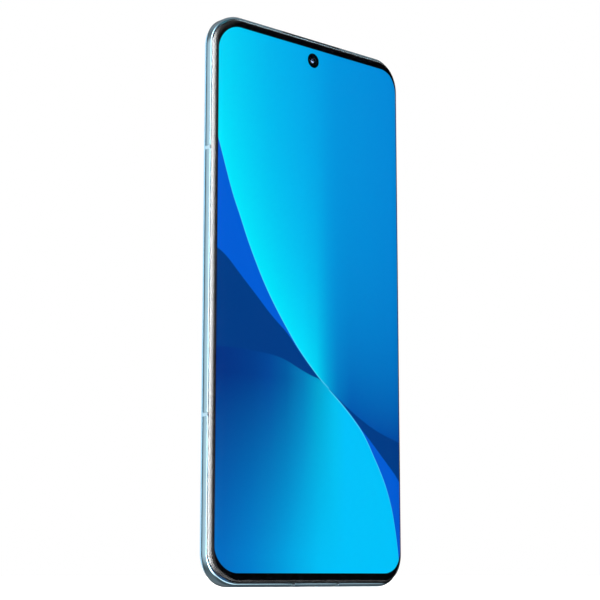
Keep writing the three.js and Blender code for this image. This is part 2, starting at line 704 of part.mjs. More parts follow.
// ---- Sound and touch -------------------------------------------------------------------------
// A closed speaker box with a cone in its open face. The cone moves along Y.
function speakerBox(name, { x, y, z }, openBelow) {
  const wall = 0.5;
  let made = box(x, y, z).subtract(
    box([x[0] + wall, x[1] - wall], [y[0] + wall, 9], [z[0] + wall, z[1] - wall]),
  );
  if (openBelow) made = made.subtract(box([x[0] + 2, x[1] - 2], [0.4, 1.6], [0, z[0] + 1]));
  return piece(name, BLACK_PLASTIC, made);
}

function speakerCone(name, { x, z }) {
  const gap = 0.5 + 0.6;
  const width = x[1] - x[0] - 2 * gap;
  const height = z[1] - z[0] - 2 * gap;
  const cx = (x[0] + x[1]) / 2;
  const cz = (z[0] + z[1]) / 2;
  let made = pad(0, 0, width, height, 2, [0, CONE.thick]);
  made = made.add(barY(0, 0, 2.6, [-0.6, CONE.thick / 2], 20));
  return piece(name, FOIL, made, [cx, 1.4, cz]);
}

function hapticMotor() {
  const { x, y, z, wall } = MOTOR;
  const outside = box(x, y, z);
  const inside = box([x[0] + wall, x[1] - wall], [y[0] + wall, y[1] - wall], [z[0] + wall, 40]);
  return piece("haptic_motor_housing", STEEL, outside.subtract(inside));
}

// The tungsten block that swings from side to side in the motor.
function hapticMass() {
  const { x, y, z, wall, travel } = MOTOR;
  const room = wall + travel + 0.15;
  const block = box([x[0] + room, x[1] - room], plusRange(y, -wall - 0.15), [z[0] + 0.6, z[1] - 0.6]);
  return piece("haptic_motor_mass", RING_METAL, block);
}

// ---- Brackets and screws ---------------------------------------------------------------------
function bracket(name, x, z, screws) {
  let made = pad((x[0] + x[1]) / 2, (z[0] + z[1]) / 2, x[1] - x[0], z[1] - z[0], 2, [
    BRACKET.front,
    BRACKET.back,
  ]);
  for (const [sx, sz] of screws)
    made = made.subtract(barY(sx, sz, SCREW.shankR + 0.15, [0, 9], 12));
  return piece(name, BLACK_PLASTIC, made);
}

// A pan-head screw with a cross recess.
function screw(name, [x, z]) {
  let made = barY(0, 0, SCREW.headR, [BRACKET.back + 0.02, BRACKET.back + SCREW.head], 14);
  made = made.add(barY(0, 0, SCREW.shankR, [SCREW.foot, BRACKET.back + 0.1], 10));
  const top = [BRACKET.back + SCREW.head - 0.15, 9];
  made = made.subtract(box([-0.7, 0.7], top, [-0.15, 0.15]));
  made = made.subtract(box([-0.15, 0.15], top, [-0.7, 0.7]));
  return piece(name, STEEL, made, [x, 0, z]);
}

// ---- The phone -------------------------------------------------------------------------------
const phone = group(
  group(midFrame(), ...aerialBreaks(), earpieceMesh(), infraredWindow()),
  group(coverGlass(), displayPanel(), vapourChamber(), fingerprintSensor(), frontCamera()),
  group(backGlass(), cameraPlate(), flashWindow(), chargingCoil()),
  ...Object.entries(LENSES).map(([name, lens]) => rearCamera(name, lens)),
  group(sideKey("power_key", POWER_KEY, [0]), keyFlex()),
  group(sideKey("volume_key", VOLUME_KEY, [-VOLUME_KEY.post, VOLUME_KEY.post])),
  group(cardTray(), traySeal(), simCard(), trayReader(), ejectorRod(), ejectorLever()),
  group(usbSleeve(), usbTongue(), subBoard(), linkFlex(), battery()),
  group(
    mainBoard(),
    shieldCan(),
    chip("processor", -16.5, 121.5, 13, 13, 1.2),
    chip("battery_connector", 15, 103, 8, 3, 1),
  ),
  group(
    speakerBox("loudspeaker_box", LOUDSPEAKER, true),
    speakerCone("loudspeaker_cone", LOUDSPEAKER),
    speakerBox("earpiece_box", EARPIECE, false),
    speakerCone("earpiece_cone", EARPIECE),
    hapticMotor(),
    hapticMass(),
  ),
  group(
    bracket("upper_bracket", [-29, -1], [99, 147.2], UPPER_SCREWS),
    bracket("lower_bracket", [-28.6, 29], [4, 21.8], LOWER_SCREWS),
    ...UPPER_SCREWS.map((at, i) => screw(`upper_screw_${i + 1}`, at)),
    ...LOWER_SCREWS.map((at, i) => screw(`lower_screw_${i + 1}`, at)),
  ),
);

export default phone;
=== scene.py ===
import bpy
import bmesh
import math
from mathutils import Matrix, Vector


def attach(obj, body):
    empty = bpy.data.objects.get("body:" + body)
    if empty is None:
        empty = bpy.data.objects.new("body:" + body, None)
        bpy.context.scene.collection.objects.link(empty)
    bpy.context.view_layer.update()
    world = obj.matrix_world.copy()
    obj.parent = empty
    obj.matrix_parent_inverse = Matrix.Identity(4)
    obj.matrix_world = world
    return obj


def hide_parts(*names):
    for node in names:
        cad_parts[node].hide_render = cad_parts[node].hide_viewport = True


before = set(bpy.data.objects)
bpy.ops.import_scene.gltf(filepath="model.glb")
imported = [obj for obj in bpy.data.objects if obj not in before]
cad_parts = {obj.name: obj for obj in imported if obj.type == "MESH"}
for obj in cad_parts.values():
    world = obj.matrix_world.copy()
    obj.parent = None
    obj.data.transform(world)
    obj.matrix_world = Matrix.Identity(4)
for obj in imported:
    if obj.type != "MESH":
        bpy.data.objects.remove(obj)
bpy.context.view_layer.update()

# ---- Camera --------------------------------------------------------------------------------------
# A standing phone is looked at from its left, 42 degrees off the screen's axis, with the lens level
# with its lower edge and tilted up. Distances are metres.
LENS_MM = 95.31
CAMERA_AT = (-0.29051, -0.31963, 0.00292)
CAMERA_YAW = 42.108  # degrees from the screen's axis
CAMERA_PITCH = 9.85

camera = bpy.data.objects.new("camera", bpy.data.cameras.new("camera"))
bpy.context.scene.collection.objects.link(camera)
bpy.context.scene.camera = camera
camera.data.lens = LENS_MM
camera.data.sensor_width = 36
camera.data.clip_start = 0.01
camera.location = CAMERA_AT
yaw, pitch = math.radians(CAMERA_YAW), math.radians(CAMERA_PITCH)
towards = Vector((math.sin(yaw) * math.cos(pitch), math.cos(yaw) * math.cos(pitch), math.sin(pitch)))
camera.rotation_mode = "QUATERNION"
camera.rotation_quaternion = towards.to_track_quat("-Z", "Y")

# ---- Studio --------------------------------------------------------------------------------------
# A white sweep lit by the room: a tall soft light on the phone's left, a broad one overhead, and a
# dark flag in front on the right, which keeps the flat of the glass black round the picture.
scene = bpy.context.scene
scene.view_settings.view_transform = "Standard"


def add(tree, kind, settings=None, **inputs):
    """A node of that kind. An input is a value, or the socket that feeds it. Inputs go by name or place."""
    node = tree.nodes.new(kind)
    for key, value in (settings or {}).items():
        setattr(node, key, value)
    for key, value in inputs.items():
        place = int(key[1:]) if key[0] == "_" and key[1:].isdigit() else key.replace("_", " ")
        socket = node.inputs[place]
        if isinstance(value, bpy.types.NodeSocket):
            tree.links.new(value, socket)
        else:
            socket.default_value = value
    return node


def maths(operation, a, b=0.0, clamp=False):
    """A sum in the tree that its sockets belong to."""
    tree = (a if isinstance(a, bpy.types.NodeSocket) else b).id_data
    return add(tree, "ShaderNodeMath", {"operation": operation, "use_clamp": clamp}, _0=a, _1=b).outputs[0]


def minus(a, b):
    return maths("SUBTRACT", a, b)


def times(a, b):
    return maths("MULTIPLY", a, b)


def ramp(tree, factor, stops):
    """Colours along a factor from 0 to 1, from pairs of place and colour."""
    node = add(tree, "ShaderNodeValToRGB", Fac=factor)
    elements = node.color_ramp.elements
    for element, (place, colour) in zip(elements, (stops[0], stops[-1])):
        element.position, element.color = place, (*colour, 1)
    for place, colour in stops[1:-1]:
        elements.new(place).color = (*colour, 1)
    return node.outputs[0]


world = bpy.data.worlds.new("studio")
scene.world = world
world.use_nodes = True
sky = world.node_tree
sky.nodes.clear()
direction = add(sky, "ShaderNodeTexCoord").outputs["Generated"]

# Brightness round the room: degrees from straight ahead of the screen towards the phone's left
WRAP = (
    (-180, 0.15), (-150, 0.15), (-100, 0.05), (-80, 0.003), (24, 0.003), (34, 0.04), (42, 0.6),
    (50, 3.4), (56, 6.5), (70, 11), (88, 17), (108, 22), (114, 20), (119, 10), (124, 3.2), (130, 1.1),
    (140, 0.82), (148, 0.3), (156, 0.07), (180, 0.15),
)
WRAP_PEAK = 24.0
WALLS_END = (0.4, 0.97)  # sines of the elevation between which the walls fade out
CEILING, CEILING_FROM = 0.3, (0.45, 0.8)
SWEEP_GLOW, SWEEP_BELOW = 1.5, (-0.6, -0.43)  # the white sweep in front of and below the phone
SWEEP_AHEAD, SWEEP_BEHIND = (-0.5, -0.25), 0.07


def faded(value, ends, first, last):
    """first up to one end and last from the other, with an easy passage between them."""
    settings = {"interpolation_type": "SMOOTHSTEP"}
    node = add(sky, "ShaderNodeMapRange", settings, Value=value, _1=ends[0], _2=ends[1], _3=first, _4=last)
    return node.outputs[0]


axis = add(sky, "ShaderNodeSeparateXYZ", Vector=direction).outputs
azimuth = maths("ARCTAN2", times(axis["X"], -1.0), times(axis["Y"], -1.0))
around = maths("ADD", maths("DIVIDE", azimuth, 2 * math.pi), 0.5)
wrap = ramp(sky, around, [(degrees / 360 + 0.5, [bright / WRAP_PEAK] * 3) for degrees, bright in WRAP])
height = maths("ABSOLUTE", axis["Z"])
walls = times(times(wrap, WRAP_PEAK), faded(height, WALLS_END, 1.0, 0.0))
ceiling = faded(axis["Z"], CEILING_FROM, 0.0, CEILING)
ahead = faded(axis["Y"], SWEEP_AHEAD, 1.0, SWEEP_BEHIND)
sweep_light = times(faded(axis["Z"], SWEEP_BELOW, SWEEP_GLOW, 0.0), ahead)
total = maths("ADD", maths("ADD", walls, ceiling), sweep_light)
seen = add(sky, "ShaderNodeLightPath").outputs["Is Camera Ray"]
strength = add(sky, "ShaderNodeMix", {"data_type": "FLOAT"}, _0=seen, _2=total, _3=1.0).outputs[0]
background = add(sky, "ShaderNodeBackground", Color=(1, 1, 1, 1), Strength=strength)
add(sky, "ShaderNodeOutputWorld", Surface=background.outputs[0])

FLOOR_SIZE, FLOOR_GLOW = 6, 0.45
bpy.ops.mesh.primitive_plane_add(size=FLOOR_SIZE)
floor = bpy.context.object
floor.name = "floor"
sweep = bpy.data.materials.new("pale_floor")
sweep.use_nodes = True
surface = sweep.node_tree.nodes["Principled BSDF"]
place = add(sweep.node_tree, "ShaderNodeTexCoord").outputs["Object"]
speckle = add(sweep.node_tree, "ShaderNodeTexNoise", Vector=place, Scale=60.0)
pale = add(sweep.node_tree, "ShaderNodeMapRange", Value=speckle.outputs[0], _3=0.86, _4=0.9)
sweep.node_tree.links.new(pale.outputs[0], surface.inputs["Base Color"])
surface.inputs["Roughness"].default_value = 0.9
surface.inputs["Specular IOR Level"].default_value = 0.0
surface.inputs["Emission Color"].default_value = (1, 1, 1, 1)
surface.inputs["Emission Strength"].default_value = FLOOR_GLOW
floor.visible_glossy = False
floor.data.materials.append(sweep)

# ---- Metal band and mid frame --------------------------------------------------------------------
# The chassis is one aluminium milling: a band round the outside, a web across the middle and a lip
# at each face that a glass is glued on. It is bead-blasted and anodised pale blue after machining,
# and plastic moulded into its slots breaks the band where an aerial needs it.
MM = 0.001
WIDTH, HEIGHT, CORNER = 69.9, 152.7, 9.0
FINE_CORNER = 20  # facets of a corner
SIDE_STEPS, END_STEPS = 16, 8  # lengths that each straight is drawn in
FINE_CURVE = 12  # facets of a curved edge
# A pair is the value on the long sides and on the ends
FRONT_SEAM = ((0.12, 1.1), (-1.5, -3.2))  # inset, depth
BACK_SEAM = ((0.3, 0.9), (1.0, 3.1))
FLANK_FRONT, FLANK_BACK = (-1.38, -1.3), (0.15, 1.3)
SEAM_GAP = 0.05
LIP, WALL = 1.65, 1.9
WEB_SIZE, WEB_REACH = (57.6, HEIGHT - 6.4), 5.5  # how far in from the outline the band meets the web
WEB_FRONT, WEB_LEDGE, WEB_BACK = -2.8, -1.65, -1.2


def outline(steps=FINE_CORNER):
    """Points round the phone's outline, each with its outward direction, in millimetres."""
    points = []
    corners = (
        (1, -1, -90, SIDE_STEPS), (1, 1, 0, END_STEPS), (-1, 1, 90, SIDE_STEPS), (-1, -1, 180, END_STEPS)
    )
    for sx, sz, start, after in corners:
        middle = (sx * (WIDTH / 2 - CORNER), HEIGHT / 2 + sz * (HEIGHT / 2 - CORNER))
        for i in range(steps + 1):
            a = math.radians(start + 90 * i / steps)
            nx, nz = math.cos(a), math.sin(a)
            points.append((middle[0] + CORNER * nx, middle[1] + CORNER * nz, nx, nz))
        # Points along the straight that follows keep the bend of the corner out of its shading
        x, z, nx, nz = points[-1]
        length = HEIGHT - 2 * CORNER if after == SIDE_STEPS else WIDTH - 2 * CORNER
        for i in range(1, after):
            points.append((x - nz * length * i / after, z + nx * length * i / after, nx, nz))
    return points


OUTLINE = outline()


def ring(inset, y):
    """The outline drawn in by inset at depth y, each a number or a pair for the sides and the ends."""
    points = []
    for x, z, nx, nz in OUTLINE:
        side = nx * nx
        d = inset if isinstance(inset, (int, float)) else inset[1] + (inset[0] - inset[1]) * side
        depth = y if isinstance(y, (int, float)) else y[1] + (y[0] - y[1]) * side
        points.append(((x - nx * d) * MM, depth * MM, (z - nz * d) * MM))
    return points


def grown(pair, more):
    more = more if isinstance(more, tuple) else (more, more)
    return (pair[0] + more[0], pair[1] + more[1])


def loft(name, rings, closed=False):
    """A closed skin through rings of points, with flat ends, or joined last to first."""
    mesh = bpy.data.meshes.new(name)
    bm = bmesh.new()
    rows = [[bm.verts.new(p) for p in points] for points in rings]
    count = len(rows[0])
    pairs = list(zip(rows, rows[1:]))
    if closed:
        pairs.append((rows[-1], rows[0]))
    for low, high in pairs:
        for i in range(count):
            j = (i + 1) % count
            bm.faces.new((low[i], low[j], high[j], high[i]))
    if not closed:
        bm.faces.new(rows[0])
        bm.faces.new(rows[-1][::-1])
    bmesh.ops.recalc_face_normals(bm, faces=bm.faces)
    bm.to_mesh(mesh)
    bm.free()
    made = bpy.data.objects.new(name, mesh)
    scene.collection.objects.link(made)
    return made


def joined(name, objects):
    """One object from several."""
    bpy.ops.object.select_all(action="DESELECT")
    for o in objects:
        o.select_set(True)
    bpy.context.view_layer.objects.active = objects[0]
    if len(objects) > 1:
        bpy.ops.object.join()
    made = bpy.context.view_layer.objects.active
    made.name = name
    made.data.name = name
    return made


def settled(made):
    """Bakes an object's modifiers into its mesh."""
    graph = bpy.context.evaluated_depsgraph_get()
    mesh = bpy.data.meshes.new_from_object(made.evaluated_get(graph))
    made.modifiers.clear()
    made.data = mesh
    return made


def combined(made, other, operation="DIFFERENCE"):
    """made with other cut away from it, added to it or kept in common with it."""
    cut = made.modifiers.new("cut", "BOOLEAN")
    cut.object = other
    cut.operation = operation
    cut.solver = "EXACT"
    settled(made)
    bpy.data.objects.remove(other)
    return made


def bevelled(made, width_mm, segments):
    bevel = made.modifiers.new("bevel", "BEVEL")
    bevel.width = width_mm * MM
    bevel.segments = segments
    bevel.limit_method = "ANGLE"
    bevel.angle_limit = math.radians(32)
    return bevel


def softened(made, width_mm, segments=2):
    """Rounds the sharp edges, as a deburred or moulded piece has them."""
    bevelled(made, width_mm, segments).harden_normals = True
    return settled(smooth(made, 50))


def smooth(made, angle=35):
    for polygon in made.data.polygons:
        polygon.use_smooth = True
    made.data.set_sharp_from_angle(angle=math.radians(angle))
    return made


def rounded(width, height, radius, inset=0.0, steps=8):
    """Points of a rectangle with round corners, in millimetres round its own middle."""
    r = max(radius - inset, 0.02)
    a, b = width / 2 - inset - r, height / 2 - inset - r
    points = []
    for sx, sy, start in ((1, -1, -90), (1, 1, 0), (-1, 1, 90), (-1, -1, 180)):
        for i in range(steps + 1):
            angle = math.radians(start + 90 * i / steps)
            points.append((sx * a + r * math.cos(angle), sy * b + r * math.sin(angle)))
    return points


def circle(radius, steps=48):
    return [
        (radius * math.cos(2 * math.pi * i / steps), radius * math.sin(2 * math.pi * i / steps))
        for i in range(steps)
    ]


def along(axis, points, level, at=(0, 0)):
    """Flat points in millimetres, set across that axis at a level on it."""
    if axis == "Y":
        return [((a + at[0]) * MM, level * MM, (b + at[1]) * MM) for a, b in points]
    if axis == "X":
        return [(level * MM, (b + at[0]) * MM, (a + at[1]) * MM) for a, b in points]
    return [((a + at[0]) * MM, (b + at[1]) * MM, level * MM) for a, b in points]


def prism(name, axis, points, levels, at=(0, 0)):
    return loft(name, [along(axis, points, level, at) for level in levels])


def block(name, x, y, z):
    """A box from ranges in millimetres."""
    corners = [(x[0], y[0]), (x[1], y[0]), (x[1], y[1]), (x[0], y[1])]
    return prism(name, "Z", corners, z)


def painted(
    name, colour, roughness, metallic=0.0, vary=0.05, scale=400.0, bump=0.0, bump_scale=4000.0, **sockets
):
    """A surface whose colour and polish drift slightly, with a fine grain where bump is given."""
    made = bpy.data.materials.new(name)
    made.use_nodes = True
    tree = made.node_tree
    shader = tree.nodes["Principled BSDF"]
    where = add(tree, "ShaderNodeTexCoord").outputs["Object"]
    drift = add(tree, "ShaderNodeTexNoise", Vector=where, Scale=scale, Detail=3.0).outputs[0]
    ends = ((0.3, 1 - vary), (0.7, 1 + vary))
    shades = ramp(tree, drift, [(place, [min(c * k, 1.0) for c in colour]) for place, k in ends])
    tree.links.new(shades, shader.inputs["Base Color"])
    low, high = roughness * 0.9, min(roughness * 1.1, 1.0)
    polish = add(tree, "ShaderNodeMapRange", Value=drift, To_Min=low, To_Max=high)
    tree.links.new(polish.outputs[0], shader.inputs["Roughness"])
    shader.inputs["Metallic"].default_value = metallic
    for key, value in sockets.items():
        shader.inputs[key.replace("_", " ")].default_value = value
    if bump:
        grain = add(tree, "ShaderNodeTexNoise", Vector=where, Scale=bump_scale, Detail=2.0).outputs[0]
        raised = add(tree, "ShaderNodeBump", Height=grain, Strength=bump, Distance=0.00002)
        tree.links.new(raised.outputs[0], shader.inputs["Normal"])
    return made


def linear(red, green, blue):
    """A colour given as 0 to 255 screen values."""
    out = []
    for value in (red, green, blue):
        c = value / 255
        out.append(c / 12.92 if c <= 0.04045 else ((c + 0.055) / 1.055) ** 2.4)
    return tuple(out)


def finished(made, material, body, slot, *replaced):
    """Gives a piece its material and its place in the assembly, and hides the CAD nodes that it replaces. Its
    slot is not used.
    """
    made.data.materials.clear()
    made.data.materials.append(material)
    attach(made, body)
    if replaced:
        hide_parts(*replaced)
    return made


def band_solid(name):
    """The outside of the band, closed by the walls of the two pockets inside it."""
    front = (FRONT_SEAM[0], grown(FRONT_SEAM[1], SEAM_GAP))
    back = (BACK_SEAM[0], grown(BACK_SEAM[1], -SEAM_GAP))

    def quarter(seam, flank, k):
        a = math.pi / 2 * k / FINE_CURVE
        inset = tuple(i * (1 - math.sin(a)) for i in seam[0])
        depth = tuple(m + (s - m) * math.cos(a) for m, s in zip(flank, seam[1]))
        return ring(inset, depth)

    rings = [ring(LIP, front[1])]
    rings += [quarter(front, FLANK_FRONT, k) for k in range(FINE_CURVE + 1)]
    rings += [quarter(back, FLANK_BACK, k) for k in range(FINE_CURVE, -1, -1)]
    rings += [ring(WALL, back[1]), ring(WALL, WEB_BACK), ring(WEB_REACH, WEB_BACK)]
    rings += [ring(WEB_REACH, WEB_LEDGE), ring(LIP, WEB_LEDGE + 0.01)]
    return loft(name, rings, closed=True)


BREAK_HALF, BREAK_DEEP, BREAK_GAP = 0.5, 0.8, 0.02
SIDE_BREAKS = {"upper": 115.0, "lower": 43.9}
END_BREAKS = {"left": -6.6, "right": 9.3}


def break_block(name, margin=0.0):
    """The box that one aerial break fills, in the band's depth."""
    half, deep = BREAK_HALF + margin, BREAK_DEEP + margin
    _, _, where, which = name.split("_")
    if where == "bottom":
        x = END_BREAKS[which]
        return block("break", (x - half, x + half), (-9, 9), (-5, deep))
    z = SIDE_BREAKS[which]
    x = (-40, -WIDTH / 2 + deep) if where == "left" else (WIDTH / 2 - deep, 40)
    return block("break", x, (-9, 9), (z - half, z + half))


BREAKS = [f"aerial_break_{side}_{level}" for side in ("left", "right") for level in SIDE_BREAKS]
BREAKS += [f"aerial_break_bottom_{which}" for which in END_BREAKS]
KEY_Y, KEY_HEIGHT, KEY_OUT, KEY_GAP = -0.25, 1.9, 0.4, 0.12
POWER_KEY, VOLUME_KEY = (79.5, 10.5), (101.5, 20.5)  # height up the phone, length
USB_WIDTH, USB_HEIGHT = 8.94, 3.2
TRAY_X, TRAY_Y = (-27.2, -14.2), (-0.7, 1.3)
SPEAKER_HOLES = [13 + 2 * i for i in range(7)]
MICROPHONES = ((-9.6, 0), (21, HEIGHT))
EAR_HALF, EAR_Z = 11, (151.62, 152.26)
INFRARED_X, INFRARED_R = -15, 1.1

KEY_SLOT_X, INTO_EDGE = (33.6, 40), (-1, 3)  # how far the cutters reach
POCKETS = ((0, 145.8, 6.8), (0, 31, 9.4))  # for the front camera and the fingerprint sensor

frame_ring = band_solid("metal_band")
cutters = [break_block(name, BREAK_GAP) for name in BREAKS]
for z, length in (POWER_KEY, VOLUME_KEY):
    slot_shape = rounded(length + 2 * KEY_GAP, KEY_HEIGHT + 2 * KEY_GAP, KEY_HEIGHT / 2 + KEY_GAP)
    cutters.append(prism("key_slot", "X", slot_shape, KEY_SLOT_X, (KEY_Y, z)))
tray_middle = (sum(TRAY_X) / 2, sum(TRAY_Y) / 2)
tray_shape = rounded(TRAY_X[1] - TRAY_X[0] + 0.14, TRAY_Y[1] - TRAY_Y[0] + 0.14, 1.07)
cutters.append(prism("tray_slot", "Z", tray_shape, INTO_EDGE, tray_middle))
cutters.append(prism("socket_hole", "Z", rounded(USB_WIDTH + 0.2, USB_HEIGHT + 0.2, 1.69), INTO_EDGE))
for x in SPEAKER_HOLES:
    cutters.append(prism("speaker_hole", "Z", circle(0.6, 24), INTO_EDGE, (x, 0)))
for x, z in MICROPHONES:
    cutters.append(prism("microphone_hole", "Z", circle(0.5, 24), (z - 3, z + 3), (x, 0)))
cutters.append(prism("infrared_hole", "Z", circle(INFRARED_R, 32), (HEIGHT - 3, HEIGHT + 1), (INFRARED_X, 0)))
cutters.append(block("ear_slot", (-EAR_HALF, EAR_HALF), (-9, -0.95), EAR_Z))
frame_ring = combined(frame_ring, joined("cutters", cutters))
frame_ring = softened(frame_ring, 0.06)
web = prism("web", "Y", rounded(*WEB_SIZE, 3.0, steps=4), (WEB_FRONT, WEB_BACK), (0, HEIGHT / 2))
for x, z, size in POCKETS:
    web = combined(web, prism("pocket", "Y", rounded(size, size, 1.0, steps=4), (-5, 0), (x, z)))
chassis = joined("frame", [frame_ring, smooth(web)])

anodised = painted(
    "anodised_aluminium", (0.44, 0.67, 0.8), 0.13, metallic=1.0, vary=0.02, scale=300,
    bump=0.01, bump_scale=9000,
)
finished(chassis, anodised, "phone", "anodised_metal", "mid_frame")

break_plastic = painted(
    "break_plastic", (0.1, 0.155, 0.185), 0.4, vary=0.04, scale=900, Specular_IOR_Level=0.4
)
for name in BREAKS:
    insert = combined(band_solid(f"{name}_insert"), break_block(name), "INTERSECT")
    finished(softened(insert, 0.03, 1), break_plastic, "phone", "break_plastic", name)

# ---- Cover glass ---------------------------------------------------------------------------------
# One sheet of strengthened glass, hot-formed so that its long sides curve down to the band. It lies
# in a bed of glue on the frame's lip, and black ink is printed on the inside of its curved edge.
FRONT_CURVE, GLASS, FRONT_Y = (5.4, 1.2), 0.55, -4.08
ACTIVE_HALF, ACTIVE_Z, ACTIVE_R = 33.35, (3.6, 149.2), 6.8  # where the display shows a picture


def edge_ring(seam, curve, face, a):
    """A ring of the quarter ellipse from a flat face, at angle 0, down to its seam."""
    inset = tuple(s + c * (1 - math.sin(a)) for s, c in zip(seam[0], curve))
    return ring(inset, tuple(s + (face - s) * math.cos(a) for s in seam[1]))


def edge_rings(seam, curve, face, first=0.0):
    turn = math.pi / 2 - first
    return [edge_ring(seam, curve, face, first + turn * k / FINE_CURVE) for k in range(FINE_CURVE + 1)]


def sheet(name, seam, curve, face, thickness, inwards):
    """A sheet of even thickness with a curved edge. inwards is 1 for the front and -1 for the back."""
    inner_seam, inner_curve = (grown(seam[0], thickness), seam[1]), grown(curve, -thickness)
    inner_face = face + inwards * thickness
    # One more ring on each flat face keeps its shading flat
    first = ring(tuple(s + c + 0.1 for s, c in zip(seam[0], curve)), face)
    last = ring(tuple(s + c + 0.1 for s, c in zip(inner_seam[0], inner_curve)), inner_face)
    inner = edge_rings(inner_seam, inner_curve, inner_face)
    return loft(name, [first, *edge_rings(seam, curve, face), *inner[::-1], last])


clear_glass = painted(
    "strengthened_glass", (0.98, 0.99, 0.99), 0.02, vary=0.004, scale=200, Transmission_Weight=1.0, IOR=1.5
)
cover = softened(sheet("cover_sheet", FRONT_SEAM, FRONT_CURVE, FRONT_Y, GLASS, 1), 0.05)
finished(cover, clear_glass, "phone", "cover_glass", "cover_glass")

INK = (-0.06, -0.04)  # the ink is bonded, so it lies this far inside the glass
ink_side = FRONT_SEAM[0][0] + GLASS
ink_first = math.asin(1 - (WIDTH / 2 - ACTIVE_HALF - ink_side) / (FRONT_CURVE[0] - GLASS))
ink_rings = []
for deep in INK:
    t = GLASS + deep
    ink_seam = (grown(FRONT_SEAM[0], t), grown(FRONT_SEAM[1], -0.05))
    ink_rings.append(edge_rings(ink_seam, grown(FRONT_CURVE, -t), FRONT_Y + t, ink_first))
ink = smooth(loft("cover_ink", ink_rings[0] + ink_rings[1][::-1], closed=True))
black_ink = painted("black_ink", (0.004, 0.004, 0.005), 0.3, vary=0.1, scale=500, Specular_IOR_Level=0.2)
finished(ink, black_ink, "phone", "black_plastic")

# ---- Display -------------------------------------------------------------------------------------
# A flexible OLED panel, bonded to the glass with clear resin and bent with it at the long sides. It
# shows two bright fields that meet in an S-shaped fold over a darker ground. The front camera's hole
# is cut through it by laser.
PANEL_SEAM, PANEL_CURVE, PANEL_Y, PANEL_THICK = ((0.65, 1.63), (-1.55, -3.25)), (4.87, 0.67), -3.55, 0.55
CAMERA_Z, CAMERA_HOLE_R = 145.8, 1.8
DARK_RING = 2.1  # radius of the unlit ring round the hole
PICTURE_GAIN = 1.1  # makes up for what the glass takes
NAVY, ROYAL = linear(0, 58, 131), linear(0, 90, 209)
# Heights of the curves across the picture, by distance from its middle line
UPPER_EDGE = (
    (-33, 116), (-31.4, 109.9), (-29.3, 103.4), (-26.5, 97.1), (-23.6, 90.6), (-20.8, 85.1), (-18, 80.1),
    (-15.1, 75.6), (-12.2, 71.6), (-9.4, 68), (-6.5, 64.4), (-3.5, 61.2), (-0.6, 58.4), (2.3, 55.8),
    (6.8, 52.5), (13.6, 48.1), (18.3, 45.5), (22.9, 43.3), (27.7, 41.6), (33, 40.2),
)
LOWER_EDGE = (
    (-33, 61.6), (-20, 61.3), (-13, 60.6), (-9.3, 59.6), (-6.5, 58.5), (-3.6, 57.4), (-0.6, 56.4),
    (2.3, 55.6), (6.8, 52.4), (11.3, 48.9), (15.9, 44.8), (18.2, 42.4), (20.5, 39.3), (22.8, 35.6), (25.2, 31.7),
    (27.5, 27.2), (29.4, 22.1), (30.6, 17.4), (33, 5),
)
MIDDLE_EDGE = (
    (-33, 87.4), (-31.2, 85.9), (-26.3, 81.4), (-20.8, 76.5), (-15.1, 71.4), (-12.2, 69.2), (-9.4, 67),
    (-6.5, 64), (-3.5, 61), (2.3, 55.8), (6.8, 52.4), (11.3, 49), (15.9, 45), (18.2, 42.8), (20.5, 40.8),
    (22.9, 38.6), (27.6, 34.2), (33, 29.2),
)
# Colours of the fields across the picture
UPPER_FAR = (
    (-31, (2, 196, 240)), (-16, (0, 174, 233)), (-4, (0, 163, 229)), (8, (0, 148, 220)), (31, (1, 136, 214)),
)
UPPER_NEAR = (
    (-16, (0, 226, 248)), (-4, (1, 220, 249)), (1, (0, 208, 240)), (5, (0, 158, 212)), (9, (0, 115, 188)),
    (14, (0, 86, 170)), (31, (0, 72, 158)),
)
LOWER_HIGH = (
    (-31, (1, 50, 129)), (-22, (0, 59, 137)), (-16, (1, 69, 149)), (-10, (0, 89, 160)), (-4, (1, 121, 183)),
    (2, (0, 160, 206)), (8, (1, 189, 234)), (12, (0, 191, 246)),
)
LOWER_LOW = (
    (-31, (1, 108, 190)), (-22, (0, 126, 202)), (-16, (1, 141, 209)), (-10, (0, 157, 220)),
    (-4, (1, 174, 231)), (2, (0, 187, 241)), (12, (0, 191, 246)),
)
RIM, RIM_GAIN, RIM_COLOUR = 0.3, 0.4, (0.2, 0.85, 1.0)  # thin bright line along each fold
FADE = 27  # millimetres over which the upper field's glow along its edge dies away
FOLD_X = 5.6  # where the two fields change places
BLEND_Z, BLEND_HIGH = 8.0, 47.0  # the lower field goes from LOWER_LOW to LOWER_HIGH over this height
SPAN = 66  # width that the curves cover
TALL = 160

display = painted("display", (0.003, 0.003, 0.004), 0.25, vary=0.1, scale=500, Specular_IOR_Level=0.0)
picture = display.node_tree
position = add(picture, "ShaderNodeTexCoord").outputs["Object"]
axes = add(picture, "ShaderNodeSeparateXYZ", Vector=position).outputs
px, pz = times(axes["X"], 1000.0), times(axes["Z"], 1000.0)
across = maths("ADD", maths("DIVIDE", px, SPAN), 0.5)


def height_of(points):
    """The height of a curve drawn through points, at this place across the picture."""
    node = add(picture, "ShaderNodeFloatCurve", Value=across)
    curve = node.mapping.curves[0]
    places = [(x / SPAN + 0.5, z / TALL) for x, z in points]
    curve.points[0].location, curve.points[1].location = places[0], places[-1]
    for place in places[1:-1]:
        curve.points.new(*place)
    node.mapping.update()
    return times(node.outputs[0], TALL)


def colour_of(stops):
    return ramp(picture, across, [(x / SPAN + 0.5, linear(*colour)) for x, colour in stops])


def step(value, soft=0.3):
    """1 where value is over 0, with a soft edge in millimetres."""
    return maths("ADD", maths("DIVIDE", value, soft), 0.5, clamp=True)


